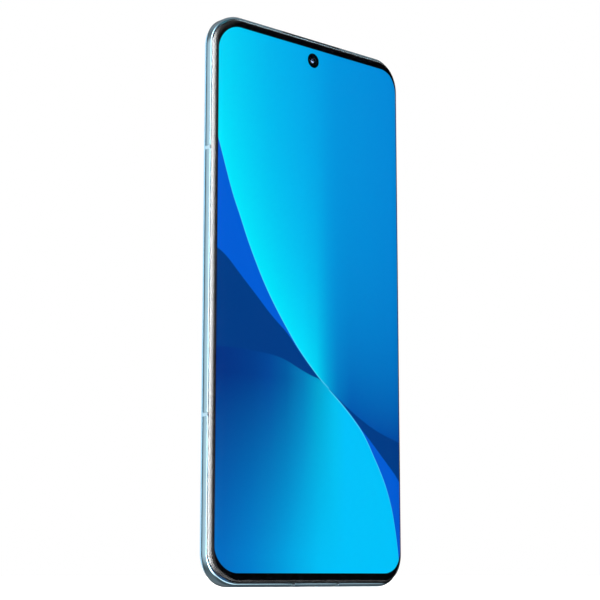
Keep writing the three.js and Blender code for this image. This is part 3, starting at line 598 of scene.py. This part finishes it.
def mixed(factor, a, b):
    colours = [(*c, 1) if isinstance(c, tuple) else c for c in (a, b)]
    node = add(picture, "ShaderNodeMix", {"data_type": "RGBA"}, _0=factor, _6=colours[0], _7=colours[1])
    return node.outputs[2]


def rimmed(field, depth, half):
    """A field with a thin bright line along its edge, on one half of the picture."""
    line = times(step(minus(RIM, depth)), half)
    return mixed(times(line, RIM_GAIN), field, RIM_COLOUR)


def length_of(a, b):
    squares = maths("ADD", times(a, a), times(b, b))
    return maths("SQRT", squares)


upper = minus(pz, height_of(UPPER_EDGE))
lower = minus(height_of(LOWER_EDGE), pz)
middle = minus(pz, height_of(MIDDLE_EDGE))
right_half = step(minus(px, FOLD_X))
left_half = minus(1.0, right_half)
flip = maths("ABSOLUTE", minus(step(middle), right_half))
glow = maths("EXPONENT", maths("DIVIDE", maths("MAXIMUM", upper, 0.0), -FADE))
rise = maths("DIVIDE", minus(pz, BLEND_Z), BLEND_HIGH, clamp=True)
lower_field = rimmed(mixed(rise, colour_of(LOWER_LOW), colour_of(LOWER_HIGH)), lower, right_half)
upper_field = rimmed(mixed(glow, colour_of(UPPER_FAR), colour_of(UPPER_NEAR)), upper, left_half)
shown = mixed(step(lower), mixed(flip, NAVY, ROYAL), lower_field)
shown = mixed(step(upper), shown, upper_field)

# The picture ends in a rectangle with round corners, and round the camera
active_middle = sum(ACTIVE_Z) / 2
out_x = minus(maths("ABSOLUTE", px), ACTIVE_HALF - ACTIVE_R)
from_middle = maths("ABSOLUTE", minus(pz, active_middle))
out_z = minus(from_middle, ACTIVE_Z[1] - active_middle - ACTIVE_R)
beyond = length_of(maths("MAXIMUM", out_x, 0.0), maths("MAXIMUM", out_z, 0.0))
inside = step(minus(ACTIVE_R, beyond), 0.1)
clear = step(minus(length_of(px, minus(pz, CAMERA_Z)), DARK_RING), 0.1)
light = mixed(times(inside, clear), (0.0, 0.0, 0.0), shown)
panel_shader = picture.nodes["Principled BSDF"]
picture.links.new(light, panel_shader.inputs["Emission Color"])
panel_shader.inputs["Emission Strength"].default_value = PICTURE_GAIN

panel = sheet("display_sheet", PANEL_SEAM, PANEL_CURVE, PANEL_Y, PANEL_THICK, 1)
punch = prism("punch", "Y", circle(CAMERA_HOLE_R), (-6, 0), (0, CAMERA_Z))
panel = combined(panel, punch)
finished(smooth(panel), display, "phone", "display", "display_panel")

# ---- Front camera --------------------------------------------------------------------------------
# A small moulded camera in a pocket of the frame's web. Its nose stands in the display's hole, with
# a coated dome of glass at the bottom of a blackened cone.
moulded_black = painted(
    "moulded_black", (0.012, 0.012, 0.014), 0.5, vary=0.12, scale=900, bump=0.2, bump_scale=7000
)
lens_coat = painted(
    "coated_lens", (0.004, 0.016, 0.07), 0.05, vary=0.2, scale=900, Specular_IOR_Level=1.0, Coat_Weight=0.6
)
mirror_coat = painted("mirror_coated_lens", (0.3, 0.45, 0.8), 0.08, metallic=0.9, vary=0.1, scale=900)


def turned(name, profile, at=(0, 0), closed=False, axis="Y", steps=48):
    """A piece turned on a lathe, from pairs of radius and place along its axis."""
    return loft(name, [along(axis, circle(r, steps), level, at) for r, level in profile], closed)


nose = turned(
    "front_camera_nose",
    ((1.2, -2.6), (1.2, -3.36), (1.14, -3.42), (0.96, -3.42), (0.9, -3.36), (0.84, -3.1), (0.02, -3.1)),
    (0, CAMERA_Z),
)
camera_block = prism("front_camera_block", "Y", rounded(6.2, 6.2, 0.5), (-2.7, 0.9), (0, CAMERA_Z))
front_camera = joined("front_camera_body", [softened(camera_block, 0.12), smooth(nose)])
finished(front_camera, black_ink, "phone", "black_plastic", "front_camera")


def dome(name, radius, base, rise_mm, at, towards=-1, steps=8):
    """A cap of glass whose middle stands out by rise_mm."""
    profile = [(radius, base - towards * 0.1)]
    for k in range(steps):
        a = math.pi / 2 * k / steps
        profile.append((radius * math.cos(a), base + towards * rise_mm * math.sin(a)))
    profile.append((0.01, base + towards * rise_mm))
    return smooth(turned(name, profile, at), 60)


finished(dome("front_lens", 0.66, -3.12, 0.36, (0, CAMERA_Z)), mirror_coat, "phone", "lens_glass")

# ---- Earpiece slot and infrared window -----------------------------------------------------------
# The slot beside the glass is closed by a strip of woven wire, held in a moulded carrier. The infrared
# window is a plug of dark acrylic pressed into the top edge from inside.
INPUT_KINDS = {float: "NodeSocketFloat", int: "NodeSocketInt"}


def by_rule(name, material, inputs, build):
    """A mesh that a tree of geometry nodes makes from named inputs."""
    tree = bpy.data.node_groups.new(name, "GeometryNodeTree")
    tree.interface.new_socket("Geometry", in_out="OUTPUT", socket_type="NodeSocketGeometry")
    for label, value in inputs.items():
        tree.interface.new_socket(label, in_out="INPUT", socket_type=INPUT_KINDS[type(value)])
    entry = tree.nodes.new("NodeGroupInput")
    shape = build(tree, {label: entry.outputs[label] for label in inputs})
    real = add(tree, "GeometryNodeRealizeInstances", Geometry=shape)
    coated = add(tree, "GeometryNodeSetMaterial", Geometry=real.outputs[0], Material=material)
    exit_node = tree.nodes.new("NodeGroupOutput")
    tree.links.new(coated.outputs[0], exit_node.inputs[0])
    made = bpy.data.objects.new(name, bpy.data.meshes.new(name))
    scene.collection.objects.link(made)
    rule = made.modifiers.new("rule", "NODES")
    rule.node_group = tree
    for item in tree.interface.items_tree:
        if item.in_out == "INPUT":
            rule[item.identifier] = inputs[item.name]
    return settled(made)


def point(tree, x=0.0, y=0.0, z=0.0):
    return add(tree, "ShaderNodeCombineXYZ", X=x, Y=y, Z=z).outputs[0]


def placed(shape, **how):
    return add(shape.id_data, "GeometryNodeTransform", Geometry=shape, **how).outputs[0]


def repeated(points, shape, **how):
    """A shape set down on each of some points."""
    node = add(shape.id_data, "GeometryNodeInstanceOnPoints", Points=points, Instance=shape, **how)
    return node.outputs[0]


def wires(tree, count, pitch, length, radius, run, step_to, middle):
    """Round wires side by side."""
    start = times(minus(count, 1.0), times(pitch, -0.5))
    row = add(
        tree, "GeometryNodeMeshLine", Count=count, Start_Location=point(tree, **{step_to: start}),
        Offset=point(tree, **{step_to: pitch}),
    )
    wire = add(tree, "GeometryNodeMeshCylinder", Vertices=6, Radius=radius, Depth=length)
    return placed(repeated(row.outputs[0], placed(wire.outputs[0], Rotation=run)), Translation=middle)


def gauze(name, material, middle, width, height, pitch_mm):
    """Woven wire cloth across Y."""
    inputs = {
        "Width": width * MM, "Height": height * MM, "Pitch": pitch_mm * MM, "Wire": 0.05 * MM,
        "Upright wires": int(width / pitch_mm), "Level wires": max(int(height / pitch_mm), 2),
    }

    def build(tree, given):
        where = tuple(c * MM for c in middle)
        both = tree.nodes.new("GeometryNodeJoinGeometry")
        ways = (("Upright wires", "Height", (0, 0, 0), "x"), ("Level wires", "Width", (0, math.pi / 2, 0), "z"))
        for count, length, run, step_to in ways:
            laid = wires(
                tree, given[count], given["Pitch"], given[length], given["Wire"], run, step_to, where
            )
            tree.links.new(laid, both.inputs[0])
        return both.outputs[0]

    return by_rule(name, material, inputs, build)


dark_steel = painted("dark_steel_wire", (0.03, 0.03, 0.033), 0.35, metallic=0.6, vary=0.2, scale=3000)
slot_middle = (0, -2.3, sum(EAR_Z) / 2)
cloth = gauze("earpiece_gauze", dark_steel, slot_middle, 2 * EAR_HALF - 0.3, 0.5, 0.2)
finished(cloth, dark_steel, "phone", "black_plastic", "earpiece_mesh")
carrier_half, carrier_z = EAR_HALF - 0.1, (EAR_Z[0] + 0.05, EAR_Z[1] - 0.05)
carrier = block("earpiece_carrier", (-carrier_half, carrier_half), (-2.14, -1.9), carrier_z)
finished(softened(carrier, 0.03), moulded_black, "phone", "black_plastic")

dark_acrylic = painted(
    "dark_acrylic", (0.012, 0.008, 0.012), 0.08, vary=0.1, scale=800, Specular_IOR_Level=0.6
)
plug = turned(
    "infrared_plug", ((1.0, HEIGHT - 1.6), (1.0, HEIGHT - 0.13), (0.92, HEIGHT - 0.05), (0.02, HEIGHT - 0.05)),
    (INFRARED_X, 0), axis="Z",
)
finished(smooth(plug), dark_acrylic, "phone", "lens_glass", "infrared_window")

# ---- Back glass ----------------------------------------------------------------------------------
# Frosted glass over a steel-blue film, curved on all sides and deeper on the long ones. It is glued
# to the frame's rear landing, and its window lets the camera plate through.
BACK_CURVE, BACK_GLASS, BACK_Y = (7.0, 3.5), 0.6, 4.08
PLATE_AT, PLATE_SIZE, PLATE_R, PLATE_Y = (14.5, 129.5), (25, 35), 6.5, (3.2, 5.0)

frosted = painted(
    "frosted_blue_glass", (0.085, 0.19, 0.27), 0.34, vary=0.06, scale=60, bump=0.05, bump_scale=12000,
    Coat_Weight=0.25, Coat_Roughness=0.3,
)
back = sheet("back_sheet", BACK_SEAM, BACK_CURVE, BACK_Y, BACK_GLASS, -1)
window_shape = rounded(PLATE_SIZE[0] + 0.2, PLATE_SIZE[1] + 0.2, PLATE_R + 0.1, steps=16)
back = combined(back, prism("window", "Y", window_shape, (0, 9), PLATE_AT))
finished(softened(back, 0.05), frosted, "phone", "back_glass", "back_glass")

# ---- Camera plate and flash ----------------------------------------------------------------------
# An anodised plate, milled with a wide chamfer, that stands through the back glass and holds the lens
# rings. The flash is two LEDs behind a ribbed diffuser of clear polycarbonate.
LENSES = {  # middle, then the radii of ring, window and barrel, then the body's side
    "main": ((19.3, 138.0), 6.4, 4.9, 3.8, 11.6),
    "wide": ((19.3, 121.2), 5.2, 3.9, 3.0, 9.6),
    "macro": ((7.6, 121.2), 3.9, 2.9, 2.2, 7.0),
}
FLASH_AT, FLASH_R = (7.6, 138.0), 2.6
RING_TOP, RING_SEAT = 5.4, 4.45

plate_metal = painted(
    "plate_metal", (0.16, 0.27, 0.34), 0.26, metallic=1.0, vary=0.03, scale=300, bump=0.01, bump_scale=9000
)
levels = ((0.0, PLATE_Y[0]), (0.0, 4.45), (0.06, 4.68), (0.2, 4.87), (0.42, 4.97), (0.7, PLATE_Y[1]))
plate = loft(
    "camera_plate_body",
    [along("Y", rounded(*PLATE_SIZE, PLATE_R, inset, 16), y, PLATE_AT) for inset, y in levels],
)
holes = [prism("flash_hole", "Y", circle(FLASH_R + 0.05), (0, 9), FLASH_AT)]
for at, ring_r, _, barrel_r, _ in LENSES.values():
    holes.append(prism("barrel_hole", "Y", circle(barrel_r + 0.6), (0, 4.6), at))
    holes.append(prism("ring_seat", "Y", circle(ring_r + 0.05, 64), (4.4, 9), at))
for hole in holes:
    plate = combined(plate, hole)
finished(smooth(plate, 30), plate_metal, "phone", "plate_metal", "camera_plate")

diffuser = painted(
    "diffuser", (0.78, 0.74, 0.6), 0.3, vary=0.05, scale=900, Coat_Weight=0.5, Specular_IOR_Level=0.6
)
steps_in = [(FLASH_R, 2.2), (FLASH_R, 4.98), (FLASH_R - 0.07, 5.05)]
for k in range(8):
    r = FLASH_R - 0.25 - 0.28 * k
    steps_in += [(r, 5.05), (r - 0.08, 4.93), (r - 0.2, 5.04)]
steps_in.append((0.02, 5.04))
flash = smooth(turned("flash_diffuser", steps_in, FLASH_AT), 25)
finished(flash, diffuser, "phone", "diffuser", "flash_window")

# ---- Rear cameras --------------------------------------------------------------------------------
# Three modules with square bodies. Over each, a turned and polished ring holds a flat window with a
# printed black rim. Behind it the barrel steps down through its baffles to a coated dome of glass.
# Only the main camera's barrel moves, to focus.
polished_ring = painted("polished_ring", (0.45, 0.55, 0.62), 0.14, metallic=1.0, vary=0.03, scale=900)
lens_window = painted(
    "lens_window", (0.92, 0.95, 0.98), 0.02, vary=0.004, scale=200, Transmission_Weight=1.0, IOR=1.5
)
FIXED_BARREL_TOP = 4.0


def barrel_profile(radius, foot):
    """A barrel from its foot over the rim and down through the baffles."""
    profile = [(radius, foot), (radius, FIXED_BARREL_TOP - 0.1), (radius - 0.1, FIXED_BARREL_TOP)]
    r, y = radius * 0.9, FIXED_BARREL_TOP
    for _ in range(4):
        profile += [(r, y), (r - 0.05, y - 0.22)]
        r, y = r - radius * 0.085, y - 0.22
    return profile + [(radius * 0.52, y), (0.02, y)]


for name, (at, ring_r, window_r, barrel_r, case_side) in LENSES.items():
    body = "main_lens_barrel" if name == "main" else "phone"
    top, hole = RING_TOP, window_r + 0.05
    profile = (
        (ring_r, RING_SEAT), (ring_r, top - 0.3), (ring_r - 0.08, top - 0.1), (ring_r - 0.25, top),
        (hole + 0.45, top), (hole + 0.3, top - 0.03), (hole + 0.12, top - 0.16), (hole, top - 0.2),
        (hole, RING_SEAT),
    )
    ring_piece = smooth(turned(f"{name}_ring", profile, at, closed=True, steps=72), 30)
    finished(ring_piece, polished_ring, "phone", "ring_metal", f"{name}_lens_ring")
    glass_top, glass_foot = RING_TOP - 0.22, RING_SEAT + 0.05
    profile = (
        (0.02, glass_foot), (window_r, glass_foot), (window_r, glass_top - 0.06),
        (window_r - 0.06, glass_top), (0.02, glass_top),
    )
    glass_piece = smooth(turned(f"{name}_window", profile, at, steps=72), 30)
    finished(glass_piece, lens_window, "phone", "lens_glass", f"{name}_lens_window")
    outer, inner, rim_y = window_r - 0.02, barrel_r * 0.93, (RING_SEAT + 0.01, RING_SEAT + 0.04)
    profile = ((outer, rim_y[0]), (outer, rim_y[1]), (inner, rim_y[1]), (inner, rim_y[0]))
    rim = turned(f"{name}_window_rim", profile, at, closed=True, steps=72)
    finished(rim, black_ink, "phone", "black_plastic")
    case = prism(f"{name}_case", "Y", rounded(case_side, case_side, 0.8), (-1.1, 2.9), at)
    if name == "main":
        case = combined(case, prism("well", "Y", circle(barrel_r + 0.15), (-0.5, 9), at))
        moving = smooth(turned("main_barrel", barrel_profile(barrel_r, -0.1), at), 30)
        finished(moving, moulded_black, body, "lens_glass", "main_lens_barrel")
        case = softened(case, 0.15)
    else:
        barrel = smooth(turned("barrel", barrel_profile(barrel_r, 2.8), at), 30)
        case = joined(f"{name}_case", [softened(case, 0.15), barrel])
    finished(case, moulded_black, "phone", "black_plastic", f"{name}_camera_body")
    front_glass = dome(f"{name}_front_dome", barrel_r * 0.5, 3.14, barrel_r * 0.16, at, 1)
    finished(front_glass, lens_coat, body, "lens_glass")

# ---- Keys ----------------------------------------------------------------------------------------
# Stadium-shaped bars, cut from the same anodised aluminium as the band and polished on their bevel.
# The posts behind them press dome switches on a flexible strip. A clip inside keeps them in.
POST_R, KEY_DEPTH = 0.6, 1.35


def key_piece(name, z, length, offsets):
    outer = WIDTH / 2 + KEY_OUT
    levels = ((0.0, KEY_DEPTH), (0.0, 0.22), (0.04, 0.1), (0.13, 0.02), (0.24, 0.0))
    cap = loft(name, [
        along("X", rounded(length, KEY_HEIGHT, KEY_HEIGHT / 2, inset, 12), outer - deep, (KEY_Y, z))
        for inset, deep in levels
    ])
    reach = (WIDTH / 2 - WALL, outer - KEY_DEPTH + 0.05)
    posts = [prism("post", "X", circle(POST_R, 24), reach, (KEY_Y, z + offset)) for offset in offsets]
    made = joined(f"{name}_cap", [cap, *posts])
    finished(smooth(made), anodised, name, "anodised_metal", name)


key_piece("power_key", *POWER_KEY, (0,))
key_piece("volume_key", *VOLUME_KEY, (-6.5, 6.5))

# ---- Card tray -----------------------------------------------------------------------------------
# A die-cast cover and a thin carrier in one piece, with a seal of silicone behind the cover. The card
# lies in a stepped window. A pin pushed into the small hole works the ejector's rod and lever.
CARRIER_X, CARRIER_Y, TRAY_END, COVER = (-27.0, -16.6), (-0.1, 0.7), 18.0, 1.2
CARD = (8.8, 12.3, 0.6)
CARD_AT = (sum(CARRIER_X) / 2, TRAY_END - 1 - CARD[1] / 2)
EJECT_X, EJECT_R = -15.4, 0.45
CARD_FACE = 0.12


def card_block(name, y, more_x=0.0, more_z=0.0):
    """A box over the card's own area, made larger all round by so much."""
    spans = [
        (middle - size / 2 - more, middle + size / 2 + more)
        for middle, size, more in zip(CARD_AT, CARD, (more_x, more_z))
    ]
    return block(name, spans[0], y, spans[1])


cover_levels = ((0.3, 0.0), (0.1, 0.04), (0.0, 0.16), (0.0, COVER))
tray = loft("tray_cover", [
    along("Z", rounded(13.0, 2.0, 1.0, inset, 12), z, tray_middle) for inset, z in cover_levels
])
carrier = block("carrier", CARRIER_X, CARRIER_Y, (COVER - 0.1, TRAY_END))
tray = combined(tray, carrier, "UNION")
tray = combined(tray, card_block("card_window", (-2, 2), -0.5, -0.6))
tray = combined(tray, card_block("card_seat", (CARRIER_Y[0] + 0.2, 2), 0.08, 0.08))
tray = combined(tray, prism("eject_hole", "Z", circle(EJECT_R, 24), INTO_EDGE, (EJECT_X, 0.3)))
finished(softened(tray, 0.05), anodised, "card_tray", "anodised_metal", "card_tray")

silicone = painted("silicone", (0.012, 0.012, 0.013), 0.7, vary=0.1, scale=1500, bump=0.3, bump_scale=5000)
seal_levels = ((0.0, 1.25), (-0.14, 1.36), (0.0, 1.5), (-0.14, 1.64), (0.0, 1.75))
seal_middle = (sum(CARRIER_X) / 2, sum(CARRIER_Y) / 2)
outside = [along("Z", rounded(10.5, 1.3, 0.5, inset, 6), z, seal_middle) for inset, z in seal_levels]
inside_rings = [along("Z", rounded(10.44, 0.84, 0.05, 0, 6), z, seal_middle) for z in (1.75, 1.25)]
seal = loft("silicone_seal", outside + inside_rings, closed=True)
finished(smooth(seal, 60), silicone, "card_tray", "seal_rubber", "tray_seal")

card_plastic = painted("card_plastic", (0.72, 0.74, 0.76), 0.4, vary=0.03, scale=500)
card = card_block("card", (CARD_FACE, CARD_FACE + CARD[2]))
corner = block("corner", (-0.9, 0.9), (-1, 2), (-0.9, 0.9))
corner.rotation_euler.y = math.radians(45)
corner.location = ((CARD_AT[0] + CARD[0] / 2) * MM, 0, (CARD_AT[1] + CARD[1] / 2) * MM)
finished(softened(combined(card, corner), 0.05), card_plastic, "card_tray", "card_plastic", "sim_card")

gold = painted("gold_plate", (0.75, 0.52, 0.2), 0.25, metallic=1.0, vary=0.05, scale=2000)


def pads(name, material, middle, counts, pitch, size):
    """A grid of rounded contact pads."""
    inputs = {"Columns": counts[0], "Rows": counts[1], "Pitch across": pitch[0] * MM, "Pitch up": pitch[1] * MM,
              "Pad width": size[0] * MM, "Pad depth": size[1] * MM, "Pad height": size[2] * MM}

    def build(tree, given):
        spans = [
            times(minus(given[count], 1.0), given[gap])
            for count, gap in (("Columns", "Pitch across"), ("Rows", "Pitch up"))
        ]
        grid = add(tree, "GeometryNodeMeshGrid", Size_X=spans[0], Size_Y=spans[1],
                   Vertices_X=given["Columns"], Vertices_Y=given["Rows"])
        upright = placed(grid.outputs[0], Rotation=(math.pi / 2, 0, 0))
        size_of = point(tree, given["Pad width"], given["Pad depth"], given["Pad height"])
        cube = add(tree, "GeometryNodeMeshCube", Size=size_of)
        return placed(repeated(upright, cube.outputs[0]), Translation=tuple(c * MM for c in middle))

    return softened(by_rule(name, material, inputs, build), 0.02, 1)


card_pads = pads("card_contacts", gold, (CARD_AT[0], 0.11, CARD_AT[1]), (2, 4), (4.4, 2.4), (2.6, 0.03, 1.7))
finished(card_pads, gold, "card_tray", "copper")

# ---- Card reader and ejector ---------------------------------------------------------------------
# A folded stainless cage that the tray slides into. A rod under the tray's pinhole pushes one end of
# a stamped lever. It turns on a pin in the cage, and its other end starts the tray on its way out.
def carried(material, *nodes, width=0.06, segments=2):
    """A CAD node goes on as it is, with its edges rounded and a material of its own."""
    for name in nodes:
        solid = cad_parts[name]
        solid.data.materials.clear()
        solid.data.materials.append(material)
        bevelled(solid, width, segments)


stainless = painted(
    "stainless", (0.56, 0.57, 0.58), 0.3, metallic=1.0, vary=0.05, scale=500, bump=0.08, bump_scale=6000
)
carried(stainless, "tray_reader", "ejector_rod", "ejector_lever", width=0.04)

# ---- Charging socket -----------------------------------------------------------------------------
# A seamless steel sleeve round a moulded tongue with gold-plated contacts on both of its sides. The
# sleeve is soldered to the lower board and stops just inside the metal edge.
SLEEVE_WALL = 0.3
TONGUE_HALF, TONGUE_Z = (3.35, 0.35), (1.4, 7.85)

levels = ((0.12, 0.6), (0.03, 0.63), (0.0, 0.72), (0.0, 8.33), (0.06, 8.4))
outside = [along("Z", rounded(USB_WIDTH, USB_HEIGHT, 1.59, inset, 16), z) for inset, z in levels]
sleeve = loft("socket_sleeve", outside)
mouth = loft("mouth", [
    along("Z", rounded(USB_WIDTH - 2 * SLEEVE_WALL, USB_HEIGHT - 2 * SLEEVE_WALL, 1.29, inset, 16), z)
    for inset, z in ((-0.14, 0.5), (-0.12, 0.6), (-0.03, 0.66), (0.0, 0.78), (0.0, 7.9))
])
finished(smooth(combined(sleeve, mouth)), stainless, "phone", "steel", "usb_c_sleeve")

tongue = prism("socket_tongue", "Z", rounded(2 * TONGUE_HALF[0], 2 * TONGUE_HALF[1], 0.16), TONGUE_Z)
finished(softened(tongue, 0.08), moulded_black, "phone", "black_plastic", "usb_c_tongue")
for side, y in (("front", -0.36), ("back", 0.36)):
    contacts = pads(f"socket_contacts_{side}", gold, (0, y, 3.6), (12, 1), (0.5, 1), (0.26, 0.03, 3.2))
    finished(contacts, gold, "phone", "copper")

# ---- Boards --------------------------------------------------------------------------------------
# Two glass-fibre boards with a dark green mask, joined by a ribbon over the battery. A tinned can
# covers the chips. Resistors and capacitors are soldered in rows where there is room.
board_mask = painted(
    "board_mask", (0.008, 0.05, 0.03), 0.35, vary=0.35, scale=900, bump=0.15, bump_scale=2500, Coat_Weight=0.3
)
tinned = painted(
    "tinned_steel", (0.6, 0.6, 0.58), 0.34, metallic=1.0, vary=0.06, scale=350, bump=0.1, bump_scale=3000
)
chip_resin = painted("chip_resin", (0.02, 0.02, 0.022), 0.55, vary=0.15, scale=2500, bump=0.2, bump_scale=9000)
polyimide = painted("polyimide", (0.16, 0.065, 0.012), 0.4, vary=0.1, scale=600, Coat_Weight=0.2)
carried(board_mask, "main_board", "sub_board", width=0.05)
carried(tinned, "shield_can", width=0.25, segments=3)
carried(chip_resin, "processor", "battery_connector", width=0.08)
carried(polyimide, "board_link_flex", "key_switch_flex", width=0.03)

ceramic = painted("capacitor_body", (0.2, 0.13, 0.07), 0.45, vary=0.3, scale=800)
COMPONENT_TOP, BOARD_FACE = 0.34, -0.48  # height of the tallest of them, and the face they stand on
FREE_AREAS = {  # middle across and up the board, then width and height
    "main_left": (-27.4, 117.5, 4.0, 22.0), "main_middle": (5.0, 103.4, 8.6, 7.4),
    "main_right": (24.4, 104.3, 8.6, 6.2), "lower_left": (-2.6, 11.6, 8.6, 2.6),
}


def components(name, material, area, seed):
    """Small soldered parts, scattered over a free area so that none touches another."""
    x, z, width, height_mm = area
    inputs = {"Width": width * MM, "Height": height_mm * MM, "Spacing": 0.95 * MM, "Length": 0.62 * MM,
              "Thickness": COMPONENT_TOP * MM, "Seed": seed}

    def build(tree, given):
        field = add(tree, "GeometryNodeMeshGrid", Size_X=given["Width"], Size_Y=given["Height"],
                    Vertices_X=2, Vertices_Y=2)
        spread = add(tree, "GeometryNodeDistributePointsOnFaces", {"distribute_method": "POISSON"},
                     Mesh=field.outputs[0], Distance_Min=given["Spacing"], Seed=given["Seed"], Density_Max=3e6)
        half = times(given["Length"], 0.52)
        body = add(tree, "GeometryNodeMeshCube", Size=point(tree, given["Length"], half, given["Thickness"]))
        turns = add(tree, "FunctionNodeRandomValue", {"data_type": "INT"}, Min=0, Max=1, Seed=given["Seed"])
        spin = point(tree, z=times(turns.outputs[2], math.pi / 2))
        size = add(tree, "FunctionNodeRandomValue", {"data_type": "FLOAT"}, _2=0.6, _3=1.0)
        laid = repeated(spread.outputs[0], body.outputs[0], Rotation=spin, Scale=size.outputs[1])
        # The field lies in X and Y, so it is turned upright with the parts facing the back
        where = (x * MM, (BOARD_FACE + COMPONENT_TOP / 2) * MM, z * MM)
        return placed(laid, Rotation=(-math.pi / 2, 0, 0), Translation=where)

    return softened(by_rule(name, material, inputs, build), 0.04, 1)


for seed, (where, area) in enumerate(FREE_AREAS.items(), 3):
    finished(components(f"parts_{where}", ceramic, area, seed), ceramic, "phone", "circuit_board")

# ---- Battery, heat spreader and charging coil ----------------------------------------------------
# A pouch cell of laminated foil lies in its bay on pull tabs. A flat copper chamber with boiling water
# in it spreads the heat behind the display. The coil is wound of stranded wire and glued to the back.
pouch = painted(
    "pouch_foil", (0.028, 0.03, 0.034), 0.36, vary=0.12, scale=120, bump=0.25, bump_scale=500, Coat_Weight=0.15
)
copper = painted(
    "copper", (0.72, 0.36, 0.2), 0.26, metallic=1.0, vary=0.08, scale=250, bump=0.05, bump_scale=3000
)
carried(pouch, "battery", width=0.7, segments=4)
carried(copper, "vapour_chamber", width=0.08)
COIL_Z, COIL_R, COIL_Y, COIL_WIRE = 60, (11, 21.5), 3.07, 0.17


def spiral(name, material):
    """A flat winding from a spiral curve and a round wire."""
    turns_count = (COIL_R[1] - COIL_R[0]) / (2 * COIL_WIRE) - 1
    inputs = {"Turns": turns_count, "Inner radius": (COIL_R[0] + COIL_WIRE) * MM,
              "Outer radius": (COIL_R[1] - COIL_WIRE) * MM, "Wire radius": COIL_WIRE * MM, "Points a turn": 56}

    def build(tree, given):
        path = add(tree, "GeometryNodeCurveSpiral", Resolution=given["Points a turn"], Rotations=given["Turns"],
                   Start_Radius=given["Inner radius"], End_Radius=given["Outer radius"], Height=0.0)
        section = add(tree, "GeometryNodeCurvePrimitiveCircle", Resolution=6, Radius=given["Wire radius"])
        wound = add(tree, "GeometryNodeCurveToMesh", Curve=path.outputs[0], Profile_Curve=section.outputs[0],
                    Fill_Caps=True)
        where = (0, COIL_Y * MM, COIL_Z * MM)
        return placed(wound.outputs[0], Rotation=(math.pi / 2, 0, 0), Translation=where)

    return smooth(by_rule(name, material, inputs, build), 60)


finished(spiral("coil_winding", copper), copper, "phone", "copper", "charging_coil")

# ---- Sound, touch and fingerprint ----------------------------------------------------------------
# Each loudspeaker is a moulded box with a foil cone on a rubber surround. The haptic motor swings a
# tungsten block on springs inside a steel can. The fingerprint sensor looks through the display.
cone_foil = painted("cone_foil", (0.05, 0.052, 0.056), 0.32, vary=0.1, scale=900, Coat_Weight=0.2)
tungsten = painted(
    "tungsten", (0.3, 0.31, 0.33), 0.38, metallic=1.0, vary=0.08, scale=700, bump=0.1, bump_scale=4000
)
sensor_glass = painted("sensor_glass", (0.01, 0.012, 0.02), 0.12, vary=0.2, scale=900, Specular_IOR_Level=0.7)
carried(moulded_black, "loudspeaker_box", "earpiece_box", width=0.12)
carried(cone_foil, "loudspeaker_cone", "earpiece_cone", width=0.14, segments=3)
carried(stainless, "haptic_motor_housing", width=0.1)
carried(tungsten, "haptic_motor_mass", width=0.12)
carried(sensor_glass, "fingerprint_sensor", width=0.06)

CLOTH_Z = 2.05
speaker_cloth = gauze("speaker_gauze", dark_steel, (19, 0, 0), 13.6, 1.5, 0.22)
for vertex in speaker_cloth.data.vertices:
    # The cloth is laid level, just inside the row of holes
    vertex.co.y, vertex.co.z = vertex.co.z, CLOTH_Z * MM + vertex.co.y
finished(speaker_cloth, dark_steel, "phone", "black_plastic")

# ---- Brackets and screws -------------------------------------------------------------------------
# Moulded brackets press the boards' connectors home. Cross-head screws, rolled from steel wire and
# plated, go through them into the frame's bosses.
plated_screw = painted("plated_screw", (0.5, 0.5, 0.52), 0.25, metallic=1.0, vary=0.08, scale=1500)
carried(moulded_black, "upper_bracket", "lower_bracket", width=0.1)
carried(plated_screw, *[f"{level}_screw_{i}" for level in ("upper", "lower") for i in (1, 2, 3)], width=0.05)
